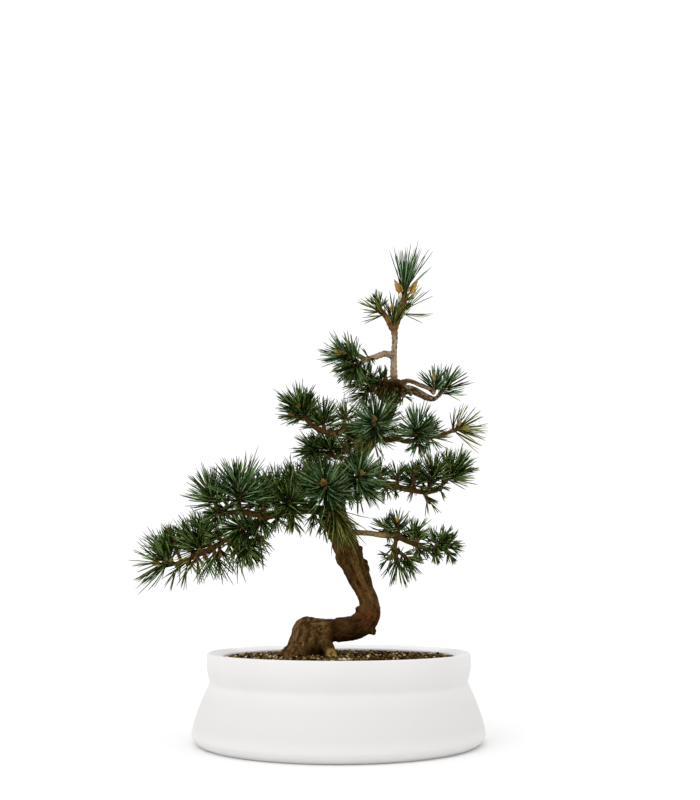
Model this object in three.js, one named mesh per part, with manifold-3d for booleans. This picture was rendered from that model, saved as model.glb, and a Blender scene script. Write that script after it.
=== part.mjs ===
// A japanese white pine bonsai and its pot, in millimetres, with Z up and the table at Z = 0.
// The pot and the soil are turned round the Z axis. The tree is a skeleton of limbs, and each of its twigs
// ends in a spray of needles. The front of the tree looks along -Y.
import * as THREE from "three";
import { mergeVertices } from "three/addons/utils/BufferGeometryUtils.js";
import Module from "manifold-3d";

const wasm = await Module();
wasm.setup();

// Room left between two pieces that touch on the real tree.
const GAP = 0.3;
// How far a facet may move when the smallest ones are merged.
const SMOOTHING = 0.2;

// The pot: radii and heights of its outline. Its lip is broad and slopes inwards. Each ease says how far in
// and how far along the height the outline's curve is pulled next to that place.
const POT = {
  height: 70,
  footRadius: 111.5,
  wideRadius: 118,
  wideHeight: 8,
  waistRadius: 104.5,
  waistHeight: 47.5,
  rimRadius: 107.4,
  bandHeight: 60,
  lipRadius: 94.5,
  lipHeight: 67.6,
  lipRound: 2,
  footEase: 2.8,
  wideEase: [2, 14],
  waistEase: [5, 11.5],
  bandEase: [0.4, 6.5],
  wall: 7.5,
  floor: 9,
  sides: 36,
  curveSteps: 3,
  holeRadius: 6,
  holeCircle: 55,
  holeCount: 3,
  holeSides: 16,
};

// The soil: nearly level, a little below the rim, with an uneven top.
const SOIL = {
  edgeHeight: 65.6,
  crownHeight: 67.5,
  edgeBand: 1,
  rings: 5,
  unevenness: 0.7,
  seed: 7,
};

// The wood is knobby: its radius swells by up to these shares round and along a limb, with ridges that wind
// round it once in so many millimetres and knobs that come again after so many.
const BARK = {
  ridge: 0.07,
  ridgeCount: 3,
  ridgeTurn: 120,
  knob: 0.06,
  knobCount: 2,
  knobSpacing: 29,
  grain: 0.05,
};

// How finely each kind of limb is drawn, the share of the bark's swelling that it takes, and its first seed.
const DRAWN = {
  foot: { sides: 12, step: 8, swell: 0.7, seed: 2 },
  root: { sides: 6, step: 12, swell: 1, seed: 40 },
  trunkLow: { sides: 12, step: 7, swell: 1, seed: 3 },
  trunkHigh: { sides: 9, step: 8, swell: 1, seed: 5 },
  leader: { sides: 7, step: 9, swell: 0.6, seed: 6 },
  branch: { sides: 5, step: 10, swell: 0.7, seed: 60 },
};
const KNEE_DETAIL = 2;
const KNOT_DETAIL = 0;

// The trunk and its limbs, each a path of [x, y, z, radius], from where it grows to its end.
const FOOT = [
  [-28, 0, 50, 18.5],
  [-28, 0, 66, 17.5],
  [-27, -1, 77, 15.5],
  [-26, -1, 85, 13],
];
const TRUNK_LOW = [
  [-25, -1, 85, 12.8],
  [-13, -3, 86, 10.8],
  [3, -6, 88, 9.8],
  [14, -5, 90, 10],
  [23, -3, 97, 10.5],
  [25, -1, 109, 9],
  [21, 0, 120, 8.5],
  [17, 1, 129, 9.5],
  [12, 2, 140, 10.5],
  [7, 3, 152, 11],
  [3, 4, 163, 11],
  [-1, 5, 175, 10.5],
  [-4, 6, 188, 9.5],
  [-3, 7, 201, 8],
];
const TRUNK_HIGH = [
  [-4, 6, 190, 9.2],
  [-3, 7, 201, 8],
  [2, 8, 214, 7.5],
  [12, 8, 228, 6.5],
  [23, 8, 241, 6],
  [35, 7, 257, 5.5],
  [44, 5, 273, 5],
  [48, 3, 288, 5.5],
];
const LEADER = [
  [48, 3, 285, 4.5],
  [47, 1, 299, 3.2],
  [47, 0, 319, 2.6],
  [48, 0, 335, 2.4],
  [47, 0, 346, 2.9],
];
const ROOTS = {
  frontRight: [[-15, -6, 80, 6.5], [-9, -13, 74, 5.5], [-6, -20, 68, 4.8], [-3, -28, 60, 3.5]],
  frontLeft: [[-32, -7, 72, 9], [-37, -18, 68, 7], [-42, -29, 63, 5], [-46, -38, 57, 3.5]],
  left: [[-34, 1, 71, 9], [-42, 2, 67, 7], [-50, 3, 61, 5], [-56, 4, 55, 3.5]],
  backLeft: [[-31, 8, 72, 9], [-38, 19, 68, 7], [-45, 29, 62, 5], [-50, 36, 56, 3.5]],
  backRight: [[-24, 8, 73, 9], [-17, 19, 69, 7], [-9, 28, 63, 5], [-4, 34, 57, 3.5]],
  right: [[-17, 3, 73, 8], [-9, 6, 69, 6], [-1, 8, 63, 4.5], [5, 10, 57, 3.5]],
};
const BRANCHES = {
  leaderRight: [[47, 0, 344, 2.9], [51, 0, 357, 2.4], [55, 0, 367, 2.2]],
  leaderLeft: [[47, 0, 344, 2.9], [44, 0, 351, 2.4], [41, 1, 356, 2.1]],
  topLeft: [
    [46, 0, 319, 2.5], [39, -4, 320, 2.3], [31, -9, 316, 2.1], [24, -14, 313, 2],
    [18, -17, 309, 1.9],
  ],
  knotLeft: [[47, 3, 289, 3.5], [39, 12, 294, 3], [30, 20, 298, 2.4], [24, 26, 301, 2]],
  topRight: [
    [48, 3, 287, 3.5], [56, 6, 292, 2.8], [64, 10, 292, 2.5], [77, 15, 286, 2.3], [84, 16, 284, 2],
  ],
  topRightUpper: [
    [48, 1, 294, 2.2], [59, -5, 296, 1.9], [69, -6, 292, 1.8], [77, 0, 290, 1.7],
    [82, 8, 287, 1.7],
  ],
  leftUpper: [
    [42, 6, 268, 4], [28, 6, 264, 3.4], [15, 2, 260, 3.1], [7, -4, 256, 2.8], [-1, -8, 251, 2.6],
    [-11, -13, 250, 2.4], [-21, -17, 254, 2.2], [-27, -20, 259, 2],
  ],
  frontUpper: [[38, 6, 261, 3], [35, -4, 254, 2.4], [31, -12, 250, 2]],
  rightUpper: [
    [30, 7, 250, 3], [39, 0, 246, 2.6], [49, -8, 245, 2.4], [58, -15, 242, 2.3],
    [70, -21, 244, 2.1], [81, -25, 245, 1.9], [91, -27, 248, 1.7],
  ],
  backLeftMiddle: [[11, 8, 227, 3], [4, 18, 232, 2.5], [-5, 27, 235, 2.2], [-15, 32, 238, 1.9]],
  frontMiddle: [[-4, 4, 190, 3.5], [-7, -8, 192, 2.9], [-9, -18, 195, 2.4]],
  frontRight: [[-3, 6, 200, 3], [6, -8, 204, 2.5], [12, -17, 207, 2.1]],
  rightMiddle: [
    [0, 7, 211, 4], [15, 13, 212, 3.4], [30, 20, 212, 3.1], [44, 25, 210, 2.9], [55, 29, 207, 2.6],
    [66, 32, 205, 2.4], [76, 35, 204, 2.3], [84, 36, 206, 2.1], [90, 36, 210, 1.9],
  ],
  lowRight: [
    [4, 4, 168, 3.6], [14, -2, 167, 2.7], [26, -7, 166, 2.5], [36, -12, 164, 2.4],
    [47, -16, 163, 2.4], [56, -19, 159, 2.3], [65, -21, 155, 2.1], [75, -23, 152, 1.9],
    [86, -24, 152, 1.7],
  ],
  lowRightHanging: [[47, -16, 163, 1.9], [46, -19, 155, 1.7], [46, -21, 149, 1.6]],
  leftMain: [
    [-5, 5, 185, 5], [-18, -2, 186, 4.1], [-31, -9, 185, 3.6], [-44, -14, 183, 3.4],
    [-58, -17, 180, 3.2], [-69, -19, 181, 2.8], [-81, -20, 183, 2.5], [-92, -21, 182, 2.2],
    [-99, -21, 184, 1.9],
  ],
  leftLow: [
    [-57, -17, 180, 3], [-68, -11, 174, 2.8], [-75, -5, 166, 2.6], [-83, -1, 163, 2.6],
    [-94, 3, 162, 2.6], [-104, 7, 156, 2.5], [-115, 10, 151, 2.4], [-126, 13, 146, 2.1],
    [-136, 15, 142, 1.9], [-142, 16, 141, 1.7],
  ],
  backMiddle: [[-3, 8, 195, 3.2], [-8, 30, 202, 2.5], [-16, 52, 209, 2]],
  backUpper: [[16, 9, 233, 3], [23, 30, 241, 2.3], [29, 48, 247, 1.9]],
  backLeft: [[-44, -14, 183, 2.6], [-53, 12, 190, 2.1], [-60, 34, 196, 1.8]],
};
// The round knee above the foot, and the stumps and scars of old branches, each [x, y, z, radius].
const KNEE = [-26, -1, 84.5, 13.8];
const KNOTS = [
  [-1, -7, 95.5, 4.5],
  [12, -6, 101, 3.5],
  [28, -6, 87, 3.5],
  [24, 1, 138, 4],
  [17, 2, 152, 4],
  [44, -1, 284, 3.6],
  [53, 4, 293, 3.4],
  [45, 6, 295, 3.2],
];

// Needle colours: the deep green of most sprays, the blue-green of some and the yellow-green of others.
const DEEP = "deep";
const BLUE = "blue";
const FRESH = "fresh";

// The twigs that carry a spray: where it grows, where its bud ends, needle length, needles, colour, and the
// widest angle between a needle and the twig where that isn't the usual one.
const SHOOTS = {
  crown: [[55, 0, 367], [59, -1, 384], 40, 10, BLUE, 34],
  crown_front: [[47, -1, 345], [45, -8, 360], 22, 6, DEEP, 50],
  crown_left: [[41, 1, 356], [29, 4, 370], 18, 7, DEEP, 60],
  crown_right: [[49, 0, 351], [59, 9, 365], 30, 6, FRESH, 56],
  top_left_rear: [[23, -15, 312], [6, -6, 323], 15, 10, DEEP, 50],
  top_left_end: [[18, -17, 309], [1, -22, 316], 24, 18, BLUE, 80],
  top_left_low: [[18, -17, 309], [12, -22, 304], 21, 17, DEEP, 80],
  knot_left_end: [[24, 26, 301], [17, 31, 307], 21, 16, DEEP],
  knot_left_low: [[31, 19, 298], [20, 12, 285], 20, 14, DEEP, 80],
  top_right_end: [[84, 16, 284], [96, 17, 298], 26, 11, BLUE, 66],
  top_right_bud: [[82, 8, 287], [82, 4, 299], 18, 9, BLUE, 60],
  left_upper_end: [[-27, -20, 259], [-36, -26, 269], 24, 23, DEEP, 98],
  left_upper_mid: [[-12, -13, 250], [-15, -4, 267], 22, 18, DEEP],
  left_upper_rear: [[3, -6, 253], [6, 4, 271], 19, 10, DEEP, 80],
  front_upper_end: [[31, -12, 250], [29, -27, 258], 29, 24, BLUE],
  front_upper_low: [[33, -9, 251], [22, -18, 242], 18, 13, FRESH, 50],
  right_upper_mid: [[64, -18, 243], [65, -27, 251], 26, 22, BLUE, 92],
  right_upper_rear: [[72, -22, 244], [78, -14, 246], 20, 12, BLUE, 80],
  right_upper_end: [[91, -27, 248], [102, -29, 252], 24, 10, FRESH, 84],
  back_left_middle_end: [[-15, 32, 238], [-27, 37, 244], 21, 17, DEEP],
  back_left_middle_mid: [[-5, 27, 235], [-12, 34, 248], 24, 21, DEEP, 92],
  front_middle_end: [[-9, -18, 195], [-12, -37, 204], 31, 26, BLUE],
  front_right_end: [[12, -17, 207], [18, -32, 213], 28, 23, BLUE],
  front_right_low: [[9, -13, 205], [25, -22, 203], 24, 15, DEEP, 84],
  right_middle_inner: [[50, 27, 208], [51, 36, 221], 18, 7, DEEP, 70],
  right_middle_rear: [[66, 32, 205], [65, 44, 219], 21, 15, DEEP],
  right_middle_mid: [[77, 35, 204], [83, 27, 224], 24, 18, DEEP],
  right_middle_end: [[90, 36, 210], [102, 36, 227], 26, 21, DEEP, 70],
  right_middle_low: [[74, 34, 204], [79, 31, 193], 15, 5, FRESH, 50],
  low_right_up: [[49, -17, 162], [48, -24, 175], 17, 12, DEEP, 80],
  low_right_inner: [[40, -13, 164], [39, 1, 173], 16, 10, DEEP],
  low_right_mid: [[59, -20, 158], [64, -12, 168], 16, 10, DEEP, 80],
  low_right_outer: [[77, -23, 152], [82, -33, 159], 16, 12, DEEP],
  low_right_end: [[86, -24, 152], [89, -34, 157], 14, 10, DEEP],
  low_right_hanging_end: [[46, -21, 149], [49, -25, 137], 21, 7, DEEP, 66],
  low_right_hanging_side: [[46, -20, 153], [59, -28, 141], 16, 14, DEEP, 80],
  left_main_end: [[-99, -21, 184], [-107, -24, 201], 27, 17, DEEP, 76],
  left_main_third: [[-82, -20, 183], [-81, -30, 203], 33, 24, BLUE, 84],
  left_main_second: [[-68, -19, 181], [-68, -9, 200], 27, 20, DEEP],
  left_main_rear: [[-51, -15, 182], [-53, 2, 204], 28, 20, DEEP],
  left_main_front: [[-42, -13, 183], [-40, -31, 191], 26, 17, FRESH],
  left_main_inner: [[-29, -8, 185], [-34, 0, 210], 25, 18, DEEP],
  left_main_low: [[-23, -5, 186], [-19, -14, 176], 17, 13, DEEP, 84],
  left_low_end: [[-142, 16, 141], [-156, 16, 142], 31, 6, DEEP, 84],
  left_low_up: [[-142, 16, 141], [-149, 20, 155], 27, 18, DEEP, 42],
  left_low_mid: [[-117, 11, 151], [-124, 18, 162], 28, 21, DEEP, 84],
  left_low_under: [[-119, 11, 150], [-122, 5, 142], 24, 6, FRESH, 56],
  left_low_rear: [[-108, 8, 155], [-118, 26, 172], 24, 18, DEEP],
  left_low_hanging: [[-106, 7, 155], [-105, 12, 144], 28, 3, DEEP, 66],
  left_low_second: [[-79, -3, 164], [-75, -9, 151], 21, 21, DEEP, 80],
  left_low_inner: [[-73, -7, 168], [-84, -16, 172], 22, 20, DEEP, 96],
  trunk_hanging: [[-7, -8, 192], [-1, -16, 177], 30, 15, FRESH, 40],
  back_middle_end: [[-16, 52, 209], [-26, 66, 222], 26, 20, DEEP],
  back_middle_mid: [[-9, 34, 203], [-1, 51, 217], 25, 17, DEEP],
  back_upper_end: [[29, 48, 247], [36, 61, 258], 25, 18, DEEP],
  back_upper_mid: [[24, 33, 242], [11, 44, 255], 24, 18, DEEP],
  back_left_end: [[-60, 34, 196], [-68, 48, 208], 25, 18, DEEP],
};

// A spray: its twig, the slim core that the needles stand on, and the bud that ends the core.
const SPRAY = {
  twigRadius: 1.7,
  twigTipRadius: 1.5,
  twigSides: 4,
  coreRadius: 1.5,
  coreLength: 11,
  coreShare: 0.62,
  coreSides: 5,
  budRadius: 1.9,
  budShare: 0.3,
  budBulge: 0.1,
  needleRadius: 0.66,
  needleSides: 3,
  firstSeat: 0.12,
  lastSeat: 0.78,
  wideTilt: 88,
  closeTilt: 14,
  tiltSpread: 9,
  turnSpread: 0.25,
  rootOffset: 0.25,
  shortest: 0.88,
  longest: 1.05,
  clear: 0.25,
  tries: 60,
  triesPerLoosening: 6,
  seed: 1000,
};
const GOLDEN_ANGLE = Math.PI * (3 - Math.sqrt(5));

// Colours, roughness and metalness as the photograph shows them.
const MATERIALS = {
  pot: new THREE.MeshStandardMaterial({ color: "#e9e8e7", roughness: 0.55, metalness: 0 }),
  soil: new THREE.MeshStandardMaterial({ color: "#4a3a29", roughness: 0.95, metalness: 0 }),
  wood: new THREE.MeshStandardMaterial({ color: "#5a4126", roughness: 0.9, metalness: 0 }),
  deep: new THREE.MeshStandardMaterial({ color: "#2f5a33", roughness: 0.6, metalness: 0 }),
  blue: new THREE.MeshStandardMaterial({ color: "#4b7f6c", roughness: 0.55, metalness: 0 }),
  fresh: new THREE.MeshStandardMaterial({ color: "#7f9a3c", roughness: 0.6, metalness: 0 }),
};

// Seeded random numbers between 0 and 1, the same on every run.
function randomFrom(seed) {
  let state = seed >>> 0;
  return () => {
    state = (state + 0x6d2b79f5) >>> 0;
    let mixed = state;
    mixed = Math.imul(mixed ^ (mixed >>> 15), mixed | 1);
    mixed ^= mixed + Math.imul(mixed ^ (mixed >>> 7), mixed | 61);
    return ((mixed ^ (mixed >>> 14)) >>> 0) / 4294967296;
  };
}

// A geometry with only positions, its shared vertices merged and its collapsed faces dropped.
function welded(geometry) {
  const bare = geometry.clone();
  bare.deleteAttribute("normal");
  bare.deleteAttribute("uv");
  const merged = mergeVertices(bare, 1e-4);
  const corners = [];
  for (let i = 0; i < merged.index.count; i += 3) {
    const [a, b, c] = [0, 1, 2].map((k) => merged.index.getX(i + k));
    if (a !== b && b !== c && c !== a) corners.push(a, b, c);
  }
  merged.setIndex(corners);
  return merged;
}

// A welded geometry as a solid for cutting and joining.
function solidOf(geometry) {
  return new wasm.Manifold(
    new wasm.Mesh({
      numProp: 3,
      vertProperties: new Float32Array(geometry.attributes.position.array),
      triVerts: new Uint32Array(geometry.index.array),
    }),
  );
}

// The same solid with its smallest facets merged.
function simplified(solid) {
  return solid.asOriginal().simplify(SMOOTHING);
}

// A named mesh made of a solid.
function meshOf(name, solid, material) {
  const made = solid.getMesh();
  const places = new Float32Array(made.numVert * 3);
  for (let i = 0; i < made.numVert; i++) {
    const start = i * made.numProp;
    places.set(made.vertProperties.subarray(start, start + 3), i * 3);
  }
  const geometry = new THREE.BufferGeometry();
  geometry.setAttribute("position", new THREE.BufferAttribute(places, 3));
  geometry.setIndex(new THREE.BufferAttribute(made.triVerts, 1));
  geometry.computeVertexNormals();
  const mesh = new THREE.Mesh(geometry, material);
  mesh.name = name;
  return mesh;
}

// Turns a profile of radius and height round the Z axis.
function turned(profile) {
  const geometry = new THREE.LatheGeometry(profile, POT.sides);
  geometry.rotateX(Math.PI / 2);
  return welded(geometry);
}

// The pot's outline, from the middle of its base, up the outside, over the lip and down the inside.
function potProfile() {
  const outline = new THREE.Path();
  outline.moveTo(0, 0);
  outline.lineTo(POT.footRadius, 0);
  outline.quadraticCurveTo(
    POT.wideRadius,
    POT.wideHeight - POT.footEase,
    POT.wideRadius,
    POT.wideHeight,
  );
  outline.bezierCurveTo(
    POT.wideRadius - POT.wideEase[0],
    POT.wideHeight + POT.wideEase[1],
    POT.waistRadius + POT.waistEase[0],
    POT.waistHeight - POT.waistEase[1],
    POT.waistRadius,
    POT.waistHeight,
  );
  outline.quadraticCurveTo(
    POT.rimRadius - POT.bandEase[0],
    POT.waistHeight + POT.bandEase[1],
    POT.rimRadius,
    POT.bandHeight,
  );
  outline.lineTo(POT.rimRadius, POT.height - POT.lipRound);
  outline.quadraticCurveTo(POT.rimRadius, POT.height, POT.rimRadius - POT.lipRound, POT.height);
  outline.lineTo(POT.lipRadius + POT.lipRound, POT.lipHeight);
  outline.quadraticCurveTo(
    POT.lipRadius,
    POT.lipHeight,
    POT.lipRadius,
    POT.lipHeight - POT.lipRound,
  );
  outline.lineTo(POT.waistRadius - POT.wall, POT.waistHeight);
  outline.lineTo(POT.wideRadius - POT.wall, POT.wideHeight + POT.floor);
  outline.lineTo(POT.footRadius - POT.wall, POT.floor);
  outline.lineTo(0, POT.floor);
  return outline.getPoints(POT.curveSteps);
}

function pot() {
  const drill = new THREE.CylinderGeometry(POT.holeRadius, POT.holeRadius, POT.floor * 3, POT.holeSides);
  drill.rotateX(Math.PI / 2);
  const holes = Array.from({ length: POT.holeCount }, (_, i) => {
    const angle = (i * 2 * Math.PI) / POT.holeCount;
    return solidOf(
      welded(drill.clone().translate(Math.cos(angle) * POT.holeCircle, Math.sin(angle) * POT.holeCircle, 0)),
    );
  });
  return solidOf(turned(potProfile())).subtract(wasm.Manifold.union(holes));
}

// The soil fills the pot to just inside its walls. The seat is the room that the trunk and roots take.
function soil(seat) {
  const random = randomFrom(SOIL.seed);
  const profile = [
    new THREE.Vector2(0, POT.floor + GAP),
    new THREE.Vector2(POT.footRadius - POT.wall - GAP, POT.floor + GAP),
    new THREE.Vector2(POT.wideRadius - POT.wall - 2 * GAP, POT.wideHeight + POT.floor),
    new THREE.Vector2(POT.waistRadius - POT.wall - 2 * GAP, POT.waistHeight),
  ];
  const waist = profile.at(-1);
  const inner = new THREE.Vector2(POT.lipRadius - GAP - SOIL.edgeBand, SOIL.edgeHeight);
  profile.push(inner);
  for (let ring = 1; ring <= SOIL.rings; ring++) {
    const share = ring / SOIL.rings;
    const rise = Math.sin((share * Math.PI) / 2);
    profile.push(
      new THREE.Vector2(
        inner.x * (1 - share),
        SOIL.edgeHeight + (SOIL.crownHeight - SOIL.edgeHeight) * rise,
      ),
    );
  }
  const geometry = turned(profile);
  const places = geometry.attributes.position;
  for (let i = 0; i < places.count; i++) {
    const onTop = places.getZ(i) > waist.y + SOIL.edgeBand;
    const atEdge = Math.hypot(places.getX(i), places.getY(i)) > inner.x - SOIL.edgeBand;
    if (onTop && !atEdge) places.setZ(i, places.getZ(i) + (random() - 0.5) * 2 * SOIL.unevenness);
  }
  return simplified(solidOf(geometry).subtract(seat));
}

// The smooth curve through a path.
function curveOf(path) {
  return new THREE.CatmullRomCurve3(path.map(([x, y, z]) => new THREE.Vector3(x, y, z)));
}

// The radius part of the way along a path's curve.
function radiusAt(path, curve, along) {
  const node = curve.getUtoTmapping(along) * (path.length - 1);
  const low = Math.min(Math.floor(node), path.length - 2);
  return THREE.MathUtils.lerp(path[low][3], path[low + 1][3], node - low);
}

// A limb: a closed cylinder bent along a path's curve, thick as the path's radii and knobby as bark.
// The extra room is added to its radius and at its ends.
function limb(path, { sides, step, swell, seed }, extra = 0) {
  const random = randomFrom(seed);
  const phase = [random(), random(), random()].map((part) => part * 2 * Math.PI);
  const curve = curveOf(path);
  const length = curve.getLength();
  const steps = Math.max(2, Math.round(length / step));
  const frames = curve.computeFrenetFrames(steps, false);
  const tube = welded(new THREE.CylinderGeometry(1, 1, 1, sides, steps));
  const places = tube.attributes.position;
  for (let i = 0; i < places.count; i++) {
    const along = places.getY(i) + 0.5;
    const ring = Math.round(along * steps);
    const around = Math.atan2(places.getZ(i), places.getX(i));
    const reach = Math.hypot(places.getX(i), places.getZ(i));
    const winding = (along * length * 2 * Math.PI) / BARK.ridgeTurn;
    const beat = (along * length * 2 * Math.PI) / BARK.knobSpacing;
    const ridge = BARK.ridge * Math.sin(BARK.ridgeCount * around + phase[0] + winding);
    const knob = BARK.knob * Math.sin(beat + phase[1]) * Math.sin(BARK.knobCount * around + phase[2]);
    const grain = BARK.grain * (random() - 0.5) * 2;
    const out = reach * (radiusAt(path, curve, along) * (1 + swell * (ridge + knob + grain)) + extra);
    const place = curve.getPointAt(along);
    place.addScaledVector(frames.normals[ring], Math.cos(around) * out);
    place.addScaledVector(frames.binormals[ring], -Math.sin(around) * out);
    if (ring === 0) place.addScaledVector(frames.tangents[ring], -extra);
    if (ring === steps) place.addScaledVector(frames.tangents[ring], extra);
    places.setXYZ(i, place.x, place.y, place.z);
  }
  return solidOf(tube);
}

// Several limbs drawn alike, each with a seed of its own.
function limbs(paths, drawn, extra = 0) {
  return paths.map((path, i) => limb(path, { ...drawn, seed: drawn.seed + i }, extra));
}

// The trunk's foot and the roots, with extra room round them for the hole that they take in the soil.
function footing(extra) {
  return wasm.Manifold.union([
    limb(FOOT, DRAWN.foot, extra),
    ...limbs(Object.values(ROOTS), DRAWN.root, extra),
  ]);
}

// A round swelling of the trunk.
function knob([x, y, z, radius], detail) {
  return solidOf(welded(new THREE.IcosahedronGeometry(radius, detail).translate(x, y, z)));
}

// Where a shoot's twig, core and bud lie along its line.
function shootLine([grows, ends]) {
  const from = new THREE.Vector3(...grows);
  const to = new THREE.Vector3(...ends);
  const axis = to.clone().sub(from);
  const length = axis.length();
  axis.normalize();
  const core = Math.min(SPRAY.coreLength, length * SPRAY.coreShare);
  return {
    from,
    to,
    axis,
    core,
    twigEnd: to.clone().addScaledVector(axis, -core - GAP),
    coreStart: to.clone().addScaledVector(axis, -core),
  };
}

// A straight closed cylinder between two places, narrowing from one radius to the other.
function rod(from, to, radiusFrom, radiusTo, sides) {
  const axis = to.clone().sub(from);
  const geometry = new THREE.CylinderGeometry(radiusTo, radiusFrom, axis.length(), sides);
  geometry.translate(0, axis.length() / 2, 0);
  geometry.applyQuaternion(
    new THREE.Quaternion().setFromUnitVectors(new THREE.Vector3(0, 1, 0), axis.clone().normalize()),
  );
  return geometry.translate(from.x, from.y, from.z);
}

function wood() {
  const twigs = Object.values(SHOOTS).map((shoot) => {
    const { from, twigEnd } = shootLine(shoot);
    return solidOf(welded(rod(from, twigEnd, SPRAY.twigRadius, SPRAY.twigTipRadius, SPRAY.twigSides)));
  });
  return simplified(
    wasm.Manifold.union([
      footing(0),
      knob(KNEE, KNEE_DETAIL),
      limb(TRUNK_LOW, DRAWN.trunkLow),
      limb(TRUNK_HIGH, DRAWN.trunkHigh),
      limb(LEADER, DRAWN.leader),
      ...limbs(Object.values(BRANCHES), DRAWN.branch),
      ...twigs,
      ...KNOTS.map((place) => knob(place, KNOT_DETAIL)),
    ]),
  );
}

// The slim core that a spray's needles stand on, ending in a bud.
function coreSolid({ axis, core, coreStart }) {
  const budStart = core * (1 - SPRAY.budShare);
  const profile = [
    new THREE.Vector2(0, 0),
    new THREE.Vector2(SPRAY.coreRadius, 0),
    new THREE.Vector2(SPRAY.coreRadius, budStart),
    new THREE.Vector2(SPRAY.budRadius, budStart + core * SPRAY.budBulge),
    new THREE.Vector2(0, core),
  ];
  const geometry = new THREE.LatheGeometry(profile, SPRAY.coreSides);
  geometry.applyQuaternion(new THREE.Quaternion().setFromUnitVectors(new THREE.Vector3(0, 1, 0), axis));
  geometry.translate(coreStart.x, coreStart.y, coreStart.z);
  return solidOf(welded(geometry));
}

// A straight piece that a needle must stay clear of, thick as its two end radii.
function stretch(from, to, radiusFrom, radiusTo) {
  return {
    from,
    run: to.clone().sub(from),
    middle: from.clone().lerp(to, 0.5),
    half: from.distanceTo(to) / 2,
    radiusFrom,
    radiusTo,
  };
}

// How much room two straight pieces leave between them where they come closest.
function roomBetween(a, b) {
  const apart = a.from.clone().sub(b.from);
  const [aa, bb, ab] = [a.run.dot(a.run), b.run.dot(b.run), a.run.dot(b.run)];
  const [toA, toB] = [a.run.dot(apart), b.run.dot(apart)];
  const share = (value) => THREE.MathUtils.clamp(value, 0, 1);
  const crossing = aa * bb - ab * ab;
  const firstAlongA = crossing > 0 ? share((ab * toB - bb * toA) / crossing) : 0;
  const alongB = share((ab * firstAlongA + toB) / bb);
  const alongA = share((ab * alongB - toA) / aa);
  const placeA = a.from.clone().addScaledVector(a.run, alongA);
  const placeB = b.from.clone().addScaledVector(b.run, alongB);
  const radiusA = THREE.MathUtils.lerp(a.radiusFrom, a.radiusTo, alongA);
  const radiusB = THREE.MathUtils.lerp(b.radiusFrom, b.radiusTo, alongB);
  return placeA.distanceTo(placeB) - radiusA - radiusB;
}

function isClear(needle, others) {
  return others.every((other) => {
    const far = needle.half + other.half + other.radiusFrom + needle.radiusFrom + SPRAY.clear;
    return needle.middle.distanceTo(other.middle) > far || roomBetween(needle, other) > SPRAY.clear;
  });
}

// The wood as straight stretches, a little thicker than its paths say, since its bark swells.
function woodStretches() {
  const swollen = 1 + BARK.ridge + BARK.knob + BARK.grain;
  const stretches = [FOOT, TRUNK_LOW, TRUNK_HIGH, LEADER, ...Object.values(BRANCHES)].flatMap((path) => {
    const curve = curveOf(path);
    const parts = (path.length - 1) * 2;
    return Array.from({ length: parts }, (_, i) => {
      const radius = Math.max(path[Math.floor(i / 2)][3], path[Math.ceil((i + 1) / 2)][3]) * swollen;
      return stretch(curve.getPoint(i / parts), curve.getPoint((i + 1) / parts), radius, radius);
    });
  });
  const twigs = Object.values(SHOOTS).map((shoot) => {
    const { from, twigEnd } = shootLine(shoot);
    return stretch(from, twigEnd, SPRAY.twigRadius, SPRAY.twigRadius);
  });
  return [...stretches, ...twigs];
}

// One try at a needle: the share says how far up the core it stands, and loose how far it may stray.
function needleTry({ axis, core, coreStart }, side, reach, wideTilt, k, share, loose, random) {
  const stray = () => (random() - 0.5) * 2 * loose;
  const tilt = THREE.MathUtils.degToRad(
    THREE.MathUtils.lerp(wideTilt, SPRAY.closeTilt, share) + stray() * SPRAY.tiltSpread,
  );
  const outward = side.clone().applyAxisAngle(axis, k * GOLDEN_ANGLE + stray() * SPRAY.turnSpread);
  const seat = core * THREE.MathUtils.lerp(SPRAY.firstSeat, SPRAY.lastSeat, share);
  const from = coreStart.clone().addScaledVector(axis, seat).addScaledVector(outward, SPRAY.rootOffset);
  const length = reach * THREE.MathUtils.lerp(SPRAY.shortest, SPRAY.longest, random());
  const to = from.clone().addScaledVector(axis, Math.cos(tilt) * length);
  to.addScaledVector(outward, Math.sin(tilt) * length);
  return stretch(from, to, SPRAY.needleRadius, 0);
}

// Every spray's needles, as straight stretches. A needle that would cross the wood or another spray is
// turned clear of it, and is left out only where no direction near its own is free.
function needlesOf() {
  const names = Object.keys(SHOOTS);
  const lines = names.map((name) => shootLine(SHOOTS[name]));
  const woodParts = woodStretches();
  const cores = lines.map(({ coreStart, to }) => stretch(coreStart, to, SPRAY.budRadius, SPRAY.budRadius));
  const placed = names.map(() => []);
  names.forEach((name, i) => {
    const [, , reach, count, , wideTilt = SPRAY.wideTilt] = SHOOTS[name];
    const random = randomFrom(SPRAY.seed + i);
    const { axis } = lines[i];
    const side = new THREE.Vector3(0, 0, 1).cross(axis);
    if (side.lengthSq() === 0) side.set(1, 0, 0);
    side.normalize();
    const others = [...woodParts, ...cores.filter((_, k) => k !== i), ...placed.flat()];
    for (let k = 0; k < count; k++) {
      for (let attempt = 0; attempt < SPRAY.tries; attempt++) {
        const loose = 1 + attempt / SPRAY.triesPerLoosening;
        const needle = needleTry(lines[i], side, reach, wideTilt, k, (k + 0.5) / count, loose, random);
        if (isClear(needle, others)) {
          placed[i].push(needle);
          break;
        }
      }
    }
  });
  return new Map(names.map((name, i) => [name, placed[i]]));
}

// A needle: a three-sided spike with its root sunk in the core.
function needleSolid({ from, run }) {
  const spike = new THREE.ConeGeometry(SPRAY.needleRadius, run.length(), SPRAY.needleSides);
  spike.translate(0, run.length() / 2, 0);
  spike.applyQuaternion(
    new THREE.Quaternion().setFromUnitVectors(new THREE.Vector3(0, 1, 0), run.clone().normalize()),
  );
  return solidOf(welded(spike.translate(from.x, from.y, from.z)));
}

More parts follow.
